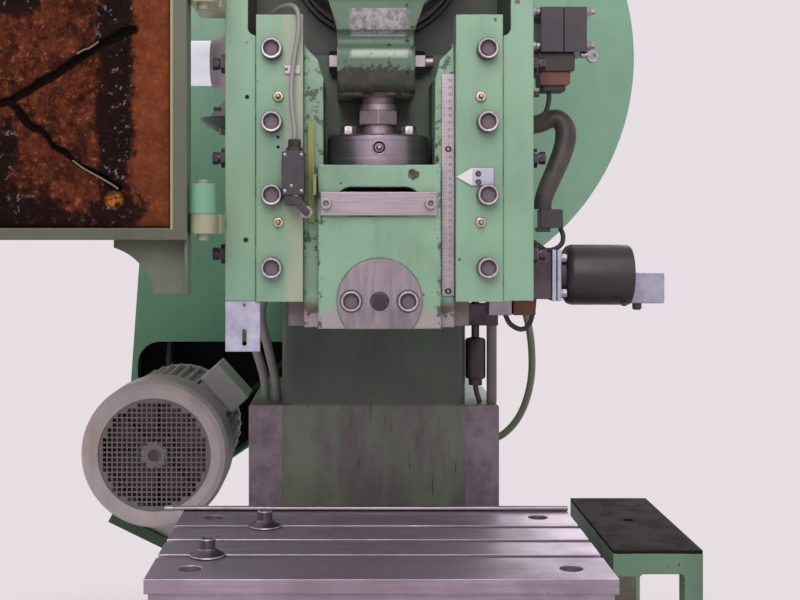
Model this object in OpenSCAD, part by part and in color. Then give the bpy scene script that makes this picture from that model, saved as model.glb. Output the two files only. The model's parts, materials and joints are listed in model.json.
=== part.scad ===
// Mechanical stamping press with a C-shaped cast frame. All sizes are millimetres.
// X runs to the right, Y runs from the operator to the flywheel, Z is height above the floor.
// The origin is the centre of the four anchor holes on the floor. Modules are drawn with Y = 0
// on the ram axis and moved to the anchor-hole centre by at_press().

/* [Frame] */
// Width of the seat beside the guideway on which each gib plate lies
gib_land = 36; // [32:1:40]
// Width of the neck behind the die space
neck_w = 322; // [280:1:340]
// Distance from the ram axis to the neck
throat = 317; // [290:1:350]
// Distance from the ram axis to the back of the frame
frame_back = 720; // [700:1:760]
// Thickness of the roof over the crank chamber
roof = 40; // [36:1:60]
// Height of the bed on which the bolster lies
bed_z = 790; // [740:1:830]
// Height of the lower block above the bolster's top
block_rise = 157; // [120:1:180]
// Daylight between the bolster's top and the cheeks
daylight = 362; // [350:1:400]
// Thickness of the casting's outer walls
wall = 43; // [36:1:46]
// Radius of the anchor holes
anchor_r = 14; // [10:0.5:16]

/* [Bolster] */
// Width of the bolster
bolster_w = 630; // [600:1:680]
// Depth of the bolster
bolster_d = 404; // [380:1:430]
// Thickness of the bolster
bolster_t = 60; // [50:1:70]
// Width of each T-slot at the top
slot_w = 18; // [14:1:22]
// Distance between T-slots
slot_pitch = 86; // [80:1:95]
// Radius of the counterbored holes in the bolster
bolster_cbore_r = 16; // [14:0.5:18]

/* [Ram] */
// Width of the ram over its guided wings
ram_w = 262; // [250:1:268]
// Width of the ram's proud front body
ram_body_w = 173; // [168:1:180]
// Height of the ram
ram_h = 408; // [390:1:420]
// Height of the ram's bottom above the bolster at the top of the stroke
ram_rise = 323; // [300:1:330]
// Stroke of the ram
stroke = 60; // [40:1:70]
// Radius of the shank bore
shank_r = 25; // [15:0.5:28]
// Radius of the shank clamp's face
clamp_r = 60; // [52:1:64]
// Running gap between sliding faces
slide_gap = 0.1; // [0.05:0.05:0.2]

/* [Drive] */
// Length of the connecting rod from the ball to the big end
rod_len = 354; // [345:1:365]
// Radius of the shaft's journals
journal_r = 55; // [50:1:60]
// Radial running clearance of turned fits
fit = 0.05; // [0.02:0.01:0.08]
// Radius of the connecting rod's big end
big_end_r = 145; // [140:1:150]
// Radius of the ball on the adjusting screw
ball_r = 34; // [30:1:36]
// Radius of the flywheel
flywheel_r = 410; // [380:1:430]
// Radius of the motor pulley
pulley_r = 62; // [55:1:75]

/* [Motor] */
// Distance of the motor's axis to the left of the centre plane
motor_x = 397; // [380:1:410]
// Height of the motor's axis
motor_z = 903; // [890:1:920]
// Radius of the fan cowl
cowl_r = 135; // [130:1:140]
// Slope of the motor's mounting plate
motor_tilt = 26; // [20:1:30]

/* [Guards] */
// Radius of the round part of the belt guard
guard_r = 532; // [520:1:545]
// Depth of the belt guard
guard_d = 110; // [105:1:130]
// Thickness of sheet-metal panels
sheet = 4; // [2:0.5:5]
// Width of the hinged front door
door_w = 470; // [440:1:500]
// Height of the hinged front door
door_h = 632; // [560:1:650]

/* [Hidden] */
$fn = 64;
green = [0.47, 0.66, 0.52];
dark_green = [0.25, 0.40, 0.30];
grey_green = [0.50, 0.56, 0.46];
steel = [0.62, 0.60, 0.62];
dark_steel = [0.33, 0.32, 0.34];
bronze = [0.72, 0.53, 0.30];
black = [0.13, 0.12, 0.13];
grey = [0.45, 0.43, 0.41];
zinc = [0.66, 0.68, 0.74];
cream = [0.72, 0.72, 0.60];

// Levels above the floor
bolster_z = bed_z + bolster_t;
block_z = bolster_z + block_rise;
head_z = bolster_z + daylight;
ram_z = bolster_z + ram_rise;
ram_top = ram_z + ram_h;
pocket_z = ram_z + 231;
ball_z = pocket_z + 12;
ecc = stroke / 2;
big_end_z = ball_z + rod_len;
crank_z = big_end_z - ecc;
chamber_top = big_end_z + big_end_r + 15;
frame_h = chamber_top + roof;

// Widths
way_x = ram_w / 2 + 8;
recess_x = way_x + gib_land;
frame_w = 2 * (recess_x + wall);

// Distances from the ram axis, negative towards the operator
cheek_front = -90;
gib_front = -95;
gib_back = -45;
way_back = 72;
ram_front = -97;
ram_step = -70;
foot_front = cheek_front - 50;
foot_back = frame_back - 50;
foot_x = frame_w / 2 + 37;
ram_axis_y = -(foot_front + foot_back) / 2;

// Guideway
gib_x0 = ram_body_w / 2 + 21.5;
gib_x1 = recess_x - 1;
gib_h = 405;
gib_top = head_z + gib_h - 1;
gib_screw_x = way_x + 12.5;
gib_screw_z = [for (i = [0:3]) head_z + 47 + 102.4 * i];
adjuster_z = [head_z + 66, head_z + 203, head_z + 338];
adjuster_s = -68;
notch_z = head_z + 375;
chamber_x = frame_w / 2 - 32;

// Crank bearings
boss_r = 137;
flange_r = boss_r - 9;
bush_r = journal_r + 15;
front_wall = [way_back, 200];
rear_wall = [frame_back - 120, frame_back];

// Guard and drive
guard_s = frame_back + 187;
guard_x = 56;
guard_z = crank_z - 48;
lobe_r = cowl_r;
wheel_s = guard_s + 14;
wheel_w = 82;
groove_pitch = 18;
belt_count = 4;
belt_w = 13;
belt_t = 9;
motor_front = throat + 90;
motor_len = 420;

// Front door
hinge_x = -frame_w / 2 - 22;
hinge_s = -170;
door_z = bolster_z + 449;
door_right = hinge_x - 19;
door_t = 45;

// Placing helpers

module at_press() translate([0, ram_axis_y, 0]) children();

// A box between two opposite corners
module block(low, high) translate(low) cube(high - low);

// A cylinder along Y between two distances from the ram axis
module cyl_y(r, s0, s1, x, z) translate([x, s0, z]) rotate([-90, 0, 0]) cylinder(r = r, h = s1 - s0);

// A cylinder along X
module cyl_x(r, x0, x1, s, z) translate([x0, s, z]) rotate([0, 90, 0]) cylinder(r = r, h = x1 - x0);

// A cylinder along Z
module cyl_z(r, z0, z1, x, s) translate([x, s, z0]) cylinder(r = r, h = z1 - z0);

// A front outline of X and Z, extruded along Y
module front_outline(s0, s1) translate([0, s1, 0]) rotate([90, 0, 0]) linear_extrude(s1 - s0) children();

// A side outline of Y and Z, extruded along X
module side_outline(x0, x1) translate([x0, 0, 0]) rotate([90, 0, 90]) linear_extrude(x1 - x0) children();

// A plan outline of X and Y, extruded along Z
module plan_outline(z0, z1) translate([0, 0, z0]) linear_extrude(z1 - z0) children();

// A rectangle between two corners, with rounded corners
module soft_rect(low, high, r) {
    w = high[0] - low[0];
    h = high[1] - low[1];
    translate(low + [r, 0]) square([w - 2 * r, h]);
    translate(low + [0, r]) square([w, h - 2 * r]);
    for (x = [low[0] + r, high[0] - r], y = [low[1] + r, high[1] - r]) translate([x, y]) circle(r);
}

// Points where two circles are joined by their outer tangents
function tangent_points(c1, r1, c2, r2) =
    let (d = c2 - c1, p = atan2(d[1], d[0]), a = acos((r1 - r2) / norm(d)))
    [
        c1 + r1 * [cos(p + a), sin(p + a)], c2 + r2 * [cos(p + a), sin(p + a)],
        c2 + r2 * [cos(p - a), sin(p - a)], c1 + r1 * [cos(p - a), sin(p - a)]
    ];

// The outline of a belt run over two circles
module belt_outline(c1, r1, c2, r2) {
    translate(c1) circle(r1, $fn = 120);
    translate(c2) circle(r2);
    polygon(tangent_points(c1, r1, c2, r2));
}

// A socket cap screw along Y: its head stands in front of the seat, its shank runs behind it
module cap_screw(r, length, seat_s, x, z) {
    head_h = 2 * r;
    difference() {
        union() {
            cyl_y(1.5 * r, seat_s - head_h, seat_s, x, z);
            cyl_y(r, seat_s - 1, seat_s + length, x, z);
        }
        translate([x, seat_s - head_h - 1, z]) rotate([-90, 0, 0]) cylinder(r = 0.95 * r, h = r + 1, $fn = 6);
    }
}

// A square-based bar with a hexagon head along X
module hex_x(across, x0, x1, s, z)
    translate([x0, s, z]) rotate([0, 90, 0]) cylinder(d = across / cos(30), h = x1 - x0, $fn = 6);

// Frame

base_front = cheek_front - 100;
window_x = 150;
window_z = [130, 600];

// The base box and bed seen from the side
module base_outline() {
    polygon([[base_front, 0], [base_front, bed_z], [throat, bed_z], [throat, bed_z + 20],
             [frame_back, bed_z + 20], [frame_back, 0]]);
}

module head_outline() {
    translate([cheek_front, head_z]) square([frame_back - cheek_front, frame_h - head_z - 90]);
    translate([cheek_front + 60, head_z]) square([frame_back - cheek_front - 150, frame_h - head_z]);
    translate([cheek_front, frame_h - 90]) square([60, 30]);
    translate([cheek_front + 60, frame_h - 60]) circle(60);
    translate([frame_back - 90, frame_h - 90]) circle(90);
}

// The hollow blend under the head, in front of the neck
module throat_blend() {
    r = 80;
    difference() {
        translate([throat - r, head_z - r]) square([r + 5, r + 5]);
        translate([throat - r, head_z - r]) circle(r);
    }
}

module frame_hollows() {
    // Front of the cheeks: recess for the gib plates
    block([-recess_x, cheek_front - 1, head_z - 1], [recess_x, gib_back, notch_z + 30]);
    // Guideway of the ram
    block([-way_x, gib_back - 1, head_z - 1], [way_x, way_back, notch_z + 30]);
    // Crank chamber, open to the front
    front_outline(cheek_front - 1, way_back) soft_rect([-chamber_x, notch_z], [chamber_x, chamber_top], 12);
    // Hollow of the neck, open at the back
    block([-neck_w / 2 + wall, throat + 60, bed_z + 20], [neck_w / 2 - wall, frame_back + 1, head_z + 60]);
    // Hollow of the base, open at the bottom
    block([-recess_x, base_front + wall, -1], [recess_x, frame_back - wall, window_z[1]]);
    // Windows in the front and back walls of the base
    front_outline(base_front - 1, frame_back + 1)
        soft_rect([-window_x, window_z[0]], [window_x, window_z[1]], 35);
}

module frame_bores() {
    for (side = [-1, 1]) {
        for (z = gib_screw_z) cyl_y(10.2, gib_back - 1, gib_back + 46, side * gib_screw_x, z);
        for (z = adjuster_z)
            cyl_x(8.2, min(side * (recess_x - 1), side * (frame_w / 2 + 1)),
                  max(side * (recess_x - 1), side * (frame_w / 2 + 1)), adjuster_s, z);
        for (s = [foot_front, foot_back]) cyl_z(anchor_r, -1, 60, side * foot_x, s);
        for (s = [-1, 1]) cyl_z(8.2, bed_z - 40, bed_z + 1, side * bolster_screw[0], s * bolster_screw[1]);
    }
    // Shaft bore and the flange's counterbore
    cyl_y(bush_r, way_back - 20, frame_back + 1, 0, crank_z);
    cyl_y(flange_r + 2, way_back - 20, way_back + 9, 0, crank_z);
    // Small tapped holes in the left cheek
    cyl_y(3, cheek_front - 1, cheek_front + 10, 31 - frame_w / 2, head_z + 288);
    cyl_y(3.5, cheek_front - 1, cheek_front + 10, 29 - frame_w / 2, head_z + 86);
}

module frame() color(green) difference() {
    union() {
        side_outline(-frame_w / 2, frame_w / 2) base_outline();
        front_outline(throat, frame_back) soft_rect([-frame_w / 2, bed_z - 30], [frame_w / 2, block_z], 5);
        plan_outline(block_z - 20, head_z + 20)
            soft_rect([-neck_w / 2, throat], [neck_w / 2, frame_back], 25);
        side_outline(-neck_w / 2 + 25, neck_w / 2 - 25) throat_blend();
        side_outline(-frame_w / 2, frame_w / 2) head_outline();
        // Table flange that carries the bolster
        plan_outline(bed_z - 50, bed_z)
            soft_rect([-bolster_w / 2 + 25, base_front], [bolster_w / 2 - 25, bolster_d / 2 - 10], 20);
        // Feet
        for (side = [-1, 1], s = [foot_front, foot_back])
            plan_outline(0, 35)
                soft_rect([side * foot_x - 45, s - 50], [side * foot_x + 45, s + 50], 18);
        // Front bearing boss
        difference() {
            cyl_y(boss_r, way_back - 16, way_back + 1, 0, crank_z);
            cyl_y(flange_r + 2, way_back - 17, way_back, 0, crank_z);
        }
    }
    difference() {
        frame_hollows();
        cyl_y(boss_r, way_back - 16, way_back + 1, 0, crank_z);
    }
    frame_bores();
}

// Gibs and wear strips

module gib_plate(side) color(green) difference() {
    block([side > 0 ? gib_x0 : -gib_x1, gib_front, head_z - 1],
          [side > 0 ? gib_x1 : -gib_x0, gib_back, gib_top]);
    for (z = gib_screw_z) cyl_y(10.2, gib_front - 1, gib_back + 1, side * gib_screw_x, z);
    for (z = nipple_z) cyl_y(3.1, gib_front - 1, gib_back + 1, side * nipple_x, z);
    if (side > 0) for (z = pointer_screw_z) cyl_y(2.6, gib_front - 1, gib_front + 12, pointer_screw_x, z);
    if (side < 0) for (z = switch_hole_z) cyl_y(2.2, gib_front - 1, gib_front + 10, switch_hole_x, z);
}

nipple_x = gib_screw_x - 9;
nipple_z = [head_z + 111, head_z + 288];
pointer_screw_x = gib_x0 + 25;
pointer_z = bolster_z + 537;
pointer_screw_z = [pointer_z - 4, pointer_z + 8];
switch_hole_x = -gib_x0 - 35;
switch_hole_z = [bolster_z + 579, bolster_z + 593];

module gib_plate_left() gib_plate(-1);
module gib_plate_right() gib_plate(1);

module gib_screws() color(dark_steel)
    for (side = [-1, 1], z = gib_screw_z) cap_screw(10, 90, gib_front, side * gib_screw_x, z);

// Set screws with locknuts that press on the gibs' outer edges
module gib_adjusters() color(dark_steel) for (side = [-1, 1], z = adjuster_z) {
    outer = frame_w / 2;
    mirror([side < 0 ? 1 : 0, 0, 0]) {
        difference() {
            hex_x(24, outer, outer + 8, adjuster_s, z);
            cyl_x(8.2, outer - 1, outer + 9, adjuster_s, z);
        }
        cyl_x(8, gib_x1, outer + 12, adjuster_s, z);
        hex_x(16, outer + 12, outer + 20, adjuster_s, z);
    }
}

module wear_strips() color(bronze) for (side = [-1, 1]) mirror([side < 0 ? 1 : 0, 0, 0]) {
    block([ram_w / 2 + slide_gap, gib_back, head_z], [way_x, way_back, gib_top - 20]);
}

module grease_nipples() color(steel) for (side = [-1, 1], z = nipple_z) {
    x = side * nipple_x;
    cyl_y(3, gib_front - 4, gib_front + 10, x, z);
    translate([x, gib_front, z]) rotate([90, 0, 0]) cylinder(d = 13, h = 4, $fn = 6);
    translate([x, gib_front - 4, z]) rotate([90, 0, 0]) cylinder(r1 = 4.5, r2 = 3, h = 5);
    translate([x, gib_front - 10.5, z]) sphere(3.2, $fn = 24);
}

// Bolster

bolster_screw = [bolster_w / 2 - 55, bolster_d / 2 - 52];
t_slots = [-slot_pitch, 0, slot_pitch];
lip = 20;
t_neck = 20;
t_head_w = slot_w + 12;
t_head_h = 12;

module bolster() color(steel) difference() {
    union() {
        block([-bolster_w / 2 + 5, -bolster_d / 2 + 5, bed_z], [bolster_w / 2 - 5, bolster_d / 2 - 5, bolster_z - lip]);
        block([-bolster_w / 2, -bolster_d / 2, bolster_z - lip], [bolster_w / 2, bolster_d / 2, bolster_z]);
    }
    for (s = t_slots) {
        block([-bolster_w / 2 - 1, s - slot_w / 2, bolster_z - t_neck - 1],
              [bolster_w / 2 + 1, s + slot_w / 2, bolster_z + 1]);
        block([-bolster_w / 2 - 1, s - t_head_w / 2, bolster_z - t_neck - t_head_h],
              [bolster_w / 2 + 1, s + t_head_w / 2, bolster_z - t_neck]);
    }
    for (x = [-1, 1], s = [-1, 1]) translate([x * bolster_screw[0], s * bolster_screw[1], 0]) {
        cyl_z(bolster_cbore_r, bolster_z - 25, bolster_z + 1, 0, 0);
        cyl_z(8.5, bed_z - 1, bolster_z - 24, 0, 0);
    }
}

module bolster_screws() color(dark_steel) for (x = [-1, 1], s = [-1, 1])
    translate([x * bolster_screw[0], s * bolster_screw[1], 0]) difference() {
        union() {
            cyl_z(12, bolster_z - 25, bolster_z - 9, 0, 0);
            cyl_z(8, bed_z - 38, bolster_z - 24, 0, 0);
        }
        translate([0, 0, bolster_z - 17]) cylinder(r = 7.5, h = 20, $fn = 6);
    }

// Two clamping bolts left in the slots
module t_bolts() color(dark_steel) for (place = [[141, slot_pitch], [71, -slot_pitch]]) {
    x = place[0] - bolster_w / 2;
    s = place[1];
    head = t_head_w / 2 - 1;
    block([x - head, s - head, bolster_z - t_neck - t_head_h + 1], [x + head, s + head, bolster_z - t_neck]);
    cyl_z(8, bolster_z - t_neck - 1, bolster_z + 7, x, s);
    difference() {
        cyl_z(12.5, bolster_z + 6, bolster_z + 26, x, s);
        translate([x, s, bolster_z + 17]) cylinder(r = 8, h = 20, $fn = 6);
    }
    difference() {
        cyl_z(25, bolster_z, bolster_z + 6, x, s);
        cyl_z(8.3, bolster_z - 1, bolster_z + 7, x, s);
    }
}

module blow_off_tube() color(steel) {
    z = bolster_z + 4.2;
    s = bolster_d / 2 - 6;
    difference() {
        cyl_x(4, -331, bolster_w / 2 + 1, s, z);
        cyl_x(2.8, -332, bolster_w / 2 + 2, s, z);
    }
    cyl_x(5, -346, -331, s, z);
}

// Feed console

console_x = [bolster_w / 2 + 19, bolster_w / 2 + 147];
console_s = [-74, 270];
console_z = bolster_z + 5;
console_drop = 270;
console_foot = bed_z - console_drop;
console_step = bed_z - 90;

module feed_console() color(green) {
    front_outline(console_s[0], console_s[0] + 30) difference() {
        polygon([[console_x[0], console_z - 5], [console_x[1], console_z - 5], [console_x[1], console_foot],
                 [frame_w / 2, console_foot], [frame_w / 2, console_step], [console_x[0], console_step]]);
        soft_rect([console_x[0] + 38, console_foot + 40], [console_x[1] - 26, console_z - 34], 6);
    }
    block([console_x[0], console_s[0] + 29, console_z - 34], [console_x[1], console_s[1], console_z - 5]);
    block([console_x[0], console_s[0] + 29, console_step - 10], [console_x[0] + 38, console_s[1], console_z - 33]);
    block([frame_w / 2, console_s[0] + 29, console_foot], [console_x[0] + 38, console_s[1], console_step]);
}

module console_plate() color(dark_steel) difference() {
    block([console_x[0], console_s[0], console_z - 5], [console_x[1], console_s[1], console_z]);
    cyl_z(8, console_z - 6, console_z + 1, console_x[0] + 62, 110);
}

// Drive shaft

module shaft_bushes() color(bronze) for (s = [front_wall, rear_wall]) difference() {
    cyl_y(bush_r, s[0] + 10, s[1] - 2, 0, crank_z);
    cyl_y(journal_r + fit, s[0] + 9, s[1] - 1, 0, crank_z);
}

shaft_end_r = journal_r - 10;
shaft_end = wheel_s + wheel_w + 8;

module crankshaft() color(steel) union() {
    cyl_y(flange_r, way_back - 15.5, way_back + 8, 0, crank_z);
    cyl_y(journal_r, way_back + 7, frame_back + 4, 0, crank_z);
    cyl_y(shaft_end_r, frame_back + 3, shaft_end, 0, crank_z);
}

ecc_r = 98;
ecc_bush_r = ecc_r + 8;

module eccentric() color(dark_green) difference() {
    union() {
        cyl_y(ecc_r, -rod_half - 1, way_back - 16.5, 0, big_end_z);
        cyl_y(ecc_bush_r + 1, -rod_half - 8, -rod_half - 0.3, 0, big_end_z);
    }
    cyl_y(70, -rod_half - 9, -rod_half - 4, 0, big_end_z);
    for (a = [30:60:330])
        cyl_y(6.5, -rod_half - 9, -30, 48 * cos(a), big_end_z + 48 * sin(a));
}

// Connecting rod

rod_half = 44.5;
rod_back = 54;
clamp_front = -62;
clamp_x = [-60, 52];
clamp_z = [ram_z + 334, ram_z + 402];
thread_r = 24;
clamp_bolt_z = ram_z + 393;
clamp_bolt_s = 37;

module con_rod() color(green) difference() {
    union() {
        cyl_y(big_end_r, -rod_half, rod_half, 0, big_end_z);
        front_outline(-rod_half, rod_half)
            polygon([[clamp_x[0], clamp_z[0] + 60], [clamp_x[0], clamp_z[0] + 95], [-72, big_end_z - 126],
                     [-40, big_end_z - 60], [40, big_end_z - 60], [66, big_end_z - 129],
                     [clamp_x[1], clamp_z[0] + 95], [clamp_x[1], clamp_z[0] + 60]]);
        side_outline(clamp_x[0], clamp_x[1]) soft_rect([clamp_front, clamp_z[0]], [rod_back, clamp_z[1] + 4], 14);
        block([clamp_x[0], 0, clamp_z[0]], [clamp_x[1], rod_back, clamp_z[1] + 40]);
    }
    // Hollow between the big end's face and the clamp head
    cyl_x(13, clamp_x[0] - 12, clamp_x[1] + 12, -rod_half - 3, clamp_z[1] + 15);
    cyl_y(ecc_bush_r, -rod_half - 1, rod_half + 1, 0, big_end_z);
    cyl_z(thread_r, clamp_z[0] - 1, clamp_z[1] + 34, 0, 0);
    // Clamping slit at the back, with its bolt hole
    block([-2, 0, clamp_z[0] - 1], [2, rod_back + 1, clamp_z[1] + 20]);
    cyl_x(10.4, clamp_x[0] - 1, clamp_x[1] + 1, clamp_bolt_s, clamp_bolt_z);
}

module con_rod_bush() color(bronze) difference() {
    cyl_y(ecc_bush_r, -rod_half, rod_half, 0, big_end_z);
    cyl_y(ecc_r + fit, -rod_half - 1, rod_half + 1, 0, big_end_z);
}

module clamp_bolt() color(steel) {
    s = clamp_bolt_s;
    z = clamp_bolt_z;
    right = clamp_x[1];
    left = clamp_x[0];
    cyl_x(10, left - 1, right + 32, s, z);
    hex_x(30, left - 13, left, s, z);
    difference() {
        union() {
            cyl_x(18, right, right + 4, s, z);
            hex_x(30, right + 4, right + 20, s, z);
        }
        cyl_x(10, right - 1, right + 21, s, z);
    }
}

// Ball joint

neck_r = 23;
hex_af = 55;
screw_hex_z = ball_z + 51;

module ball_screw() color(steel) {
    difference() {
        translate([0, 0, ball_z]) sphere(ball_r, $fn = 72);
        cyl_z(ball_r, ball_z + 26, ball_z + ball_r + 1, 0, 0);
    }
    cyl_z(neck_r, ball_z + 24, screw_hex_z + 1, 0, 0);
    translate([0, 0, screw_hex_z]) rotate([0, 0, 30]) cylinder(d = hex_af / cos(30), h = 21, $fn = 6);
    cyl_z(thread_r + 3, screw_hex_z + 20, screw_hex_z + 31, 0, 0);
    cyl_z(thread_r - 0.1, screw_hex_z + 30, clamp_z[1] + 25, 0, 0);
}

cup_r = 52;

module ball_cup() color(bronze) difference() {
    cyl_z(cup_r, ball_z - ball_r - 6, ball_z, 0, 0);
    translate([0, 0, ball_z]) sphere(ball_r + fit, $fn = 72);
}

retainer_r = 75;
retainer_h = 46;
retainer_bolt_x = 44;
retainer_bolt_s = 40;

module ball_retainer() color(steel) difference() {
    union() {
        cyl_z(retainer_r, pocket_z, pocket_z + retainer_h - 3, 0, 0);
        translate([0, 0, pocket_z + retainer_h - 3]) cylinder(r1 = retainer_r, r2 = retainer_r - 3, h = 3);
    }
    // Flat at the back, against the pocket's wall
    block([-retainer_r, pocket_s - 0.3, pocket_z - 1], [retainer_r, retainer_r + 1, pocket_z + retainer_h + 1]);
    cyl_z(cup_r + 0.2, pocket_z - 1, ball_z, 0, 0);
    translate([0, 0, ball_z]) sphere(ball_r + fit, $fn = 72);
    cyl_z(neck_r + 5, ball_z + 10, pocket_z + retainer_h + 1, 0, 0);
    for (x = [-1, 1], s = [-1, 1])
        cyl_z(6.2, pocket_z - 1, pocket_z + retainer_h + 1, x * retainer_bolt_x, s * retainer_bolt_s);
    // Counterbore and hole of the grease nipple
    cyl_y(9, -retainer_r - 1, -retainer_r + 9, 0, pocket_z + 26);
    cyl_y(2, -retainer_r, -ball_r + 2, 0, pocket_z + 26);
}

module retainer_bolts() color(steel) for (x = [-1, 1], s = [-1, 1]) {
    top = pocket_z + retainer_h;
    translate([x * retainer_bolt_x, s * retainer_bolt_s, top]) {
        cylinder(d = 19 / cos(30), h = 8, $fn = 6);
        translate([0, 0, -retainer_h - 18]) cylinder(r = 6, h = retainer_h + 19);
    }
}

// Ram

pocket_x = 80;
pocket_s = 60;
slot_z = [ram_z + 159, ram_z + 200];
slot_x = [-60, 57];

module ram() color(green) difference() {
    union() {
        block([-ram_w / 2, gib_back + slide_gap, ram_z], [ram_w / 2, way_back - slide_gap, ram_top]);
        front_outline(ram_step, gib_back + 1) {
            translate([-gib_x0 + 0.4, ram_z]) square([2 * gib_x0 - 0.8, pocket_z - ram_z + 1]);
            for (side = [-1, 1])
                polygon([[side * (pocket_x - 2), pocket_z], [side * (gib_x0 - 0.4), pocket_z],
                         [side * (gib_x0 - 0.4), ram_top - 4], [side * (ram_body_w / 2 + 1), ram_top - 26],
                         [side * (pocket_x - 2), ram_top - 60]]);
        }
        block([-ram_body_w / 2, ram_front, ram_z], [ram_body_w / 2, ram_step + 1, pocket_z]);
    }
    // Pocket for the ball joint and the clamp head
    block([-pocket_x, ram_front - 1, pocket_z], [pocket_x, pocket_s, ram_top + 1]);
    block([-pocket_x - 26, gib_back - 1, pocket_z + 128], [pocket_x + 26, pocket_s, ram_top + 1]);
    cyl_z(cup_r, ball_z - ball_r - 6, pocket_z + 1, 0, 0);
    for (x = [-1, 1], s = [-1, 1])
        cyl_z(6.2, pocket_z - 20, pocket_z + 1, x * retainer_bolt_x, s * retainer_bolt_s);
    // Slot for the knock-out bar
    front_outline(ram_front - 1, way_back + 1) soft_rect([slot_x[0], slot_z[0]], [slot_x[1], slot_z[1]], 20);
    cyl_z(9, ram_z + 80, slot_z[0] + 1, 0, 0);
    // Seat of the shank clamp and the shank bore
    cyl_y(clamp_r, ram_front - 1, 0, 0, ram_z + 39);
    block([-shank_clamp_flat, ram_front - 1, ram_z - 1], [shank_clamp_flat, 0, ram_z + 20]);
    cyl_z(shank_r, ram_z - 1, ram_z + 90, 0, 0);
    for (x = clamp_screw_x) cyl_y(10.2, -1, 50, x, ram_z + 39);
    for (x = slot_screw_x) cyl_y(5.2, ram_front - 1, ram_front + 20, x, slot_plate_z);
    for (z = scale_screw_z) cyl_y(2.2, ram_step - 1, ram_step + 12, scale_x, z);
}

shank_clamp_flat = sqrt(clamp_r * clamp_r - 39 * 39);
clamp_screw_x = [-40, 40];
slot_screw_x = [-75, 71];
slot_plate_z = ram_z + 176;
scale_x = 98.5;
scale_z = [ram_z + 45, ram_z + 362];
scale_screw_z = [ram_z + 52, ram_z + 255];

module knockout_bar() color(dark_steel) {
    block([slot_x[0] + 20.5, -14, slot_z[0] + 0.3], [slot_x[1] - 20.5, 14, slot_z[0] + 25]);
    cyl_z(8, ram_z + 100, slot_z[0] + 1, 0, 0);
}

module slot_plate() color(steel) {
    difference() {
        block([slot_screw_x[0] - 8, ram_front - 8, slot_plate_z - 16.5],
              [slot_screw_x[1] + 9, ram_front, slot_plate_z + 16.5]);
        for (x = slot_screw_x) cyl_y(5.2, ram_front - 9, ram_front + 1, x, slot_plate_z);
    }
    for (x = slot_screw_x) cap_screw(5, 16, ram_front - 8, x, slot_plate_z);
}

module shank_clamp() color(steel) difference() {
    cyl_y(clamp_r - 0.3, ram_front - 3, -1, 0, ram_z + 39);
    block([-clamp_r, ram_front - 4, ram_z - clamp_r], [clamp_r, 0, ram_z]);
    cyl_z(shank_r, ram_z - 1, ram_z + 90, 0, 0);
    for (x = clamp_screw_x) {
        cyl_y(10.2, ram_front - 4, 0, x, ram_z + 39);
        cyl_y(15.5, ram_front - 4, ram_front + 11, x, ram_z + 39);
    }
    cyl_y(13, ram_front - 4, -20, 0, ram_z + 39);
}

module shank_clamp_screws() color(dark_steel)
    for (x = clamp_screw_x) cap_screw(10, 130, ram_front + 11, x, ram_z + 39);

// Octagonal set screw that presses on the shank
module shank_set_screw() color(dark_steel)
    translate([0, ram_front - 6, ram_z + 39]) rotate([-90, 22.5, 0])
        cylinder(r = 12.8, h = -ram_front + 6 - shank_r - 0.5, $fn = 8);

// Stroke scale, pointer and cam

module stroke_scale() color(steel) {
    difference() {
        block([scale_x - 9, ram_step - 2.5, scale_z[0]], [scale_x + 9, ram_step, scale_z[1]]);
        for (z = scale_screw_z) cyl_y(2.2, ram_step - 4, ram_step + 1, scale_x, z);
    }
    for (z = scale_screw_z) {
        cyl_y(2, ram_step - 3, ram_step + 10, scale_x, z);
        cyl_y(3.6, ram_step - 4, ram_step - 2.5, scale_x, z);
    }
}

module scale_pointer() color(steel) {
    tip_x = gib_x0 - 2;
    front_outline(gib_front - 3, gib_front)
        difference() {
            union() {
                polygon([[tip_x, pointer_z], [pointer_screw_x - 6, pointer_z + 13], [pointer_screw_x - 6, pointer_z - 13]]);
                translate([pointer_screw_x - 7, pointer_z - 9]) square([32, 22]);
            }
            for (z = pointer_screw_z) translate([pointer_screw_x, z]) circle(2.6);
        }
    for (z = pointer_screw_z) {
        cyl_y(2.4, gib_front - 4, gib_front + 11, pointer_screw_x, z);
        cyl_y(4, gib_front - 5, gib_front - 3, pointer_screw_x, z);
    }
}

cam_x = -97;
cam_z = [ram_z + 128, ram_top - 118];
switch_x = -gib_x0 - 12;
switch_s = gib_front - 38;

module trip_cam() color(cream) {
    block([cam_x - 5, ram_step - 4, cam_z[0] + 22], [cam_x + 5, ram_step, cam_z[1]]);
    block([cam_x + 4.5, switch_s + 3, cam_z[0] + 60], [cam_x + 8.5, ram_step, cam_z[0] + 88]);
}

// Limit switch

module switch_body() color(black) {
    z0 = bolster_z + 509;
    block([switch_x - 16, switch_s, z0], [switch_x + 16, gib_front, z0 + 64]);
    block([switch_x - 13, switch_s + 4, z0 - 12], [switch_x + 13, gib_front - 4, z0 + 1]);
    translate([switch_x + 1, switch_s + 19, z0 + 63]) cylinder(r1 = 9.5, r2 = 9.5, h = 17);
    cyl_y(6, switch_s - 1, gib_front - 6, switch_x + 4, z0 - 6);
}

lever_pivot = [switch_x + 4, bolster_z + 503];
roller_at = [6 - gib_x0, bolster_z + 487];

module switch_lever() color(dark_steel) {
    front_outline(switch_s - 5, switch_s - 1.5) {
        translate(lever_pivot) circle(7);
        translate(roller_at) circle(5);
        polygon(tangent_points(lever_pivot, 6.8, roller_at, 4.8));
    }
    cyl_y(2.5, switch_s - 4, switch_s + 9, roller_at[0], roller_at[1]);
}

module switch_roller() color(dark_steel) {
    difference() {
        cyl_y(8.5, switch_s - 0.5, switch_s + 8, roller_at[0], roller_at[1]);
        cyl_y(2.5 + fit, switch_s - 1, switch_s + 9, roller_at[0], roller_at[1]);
    }
}

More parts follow.
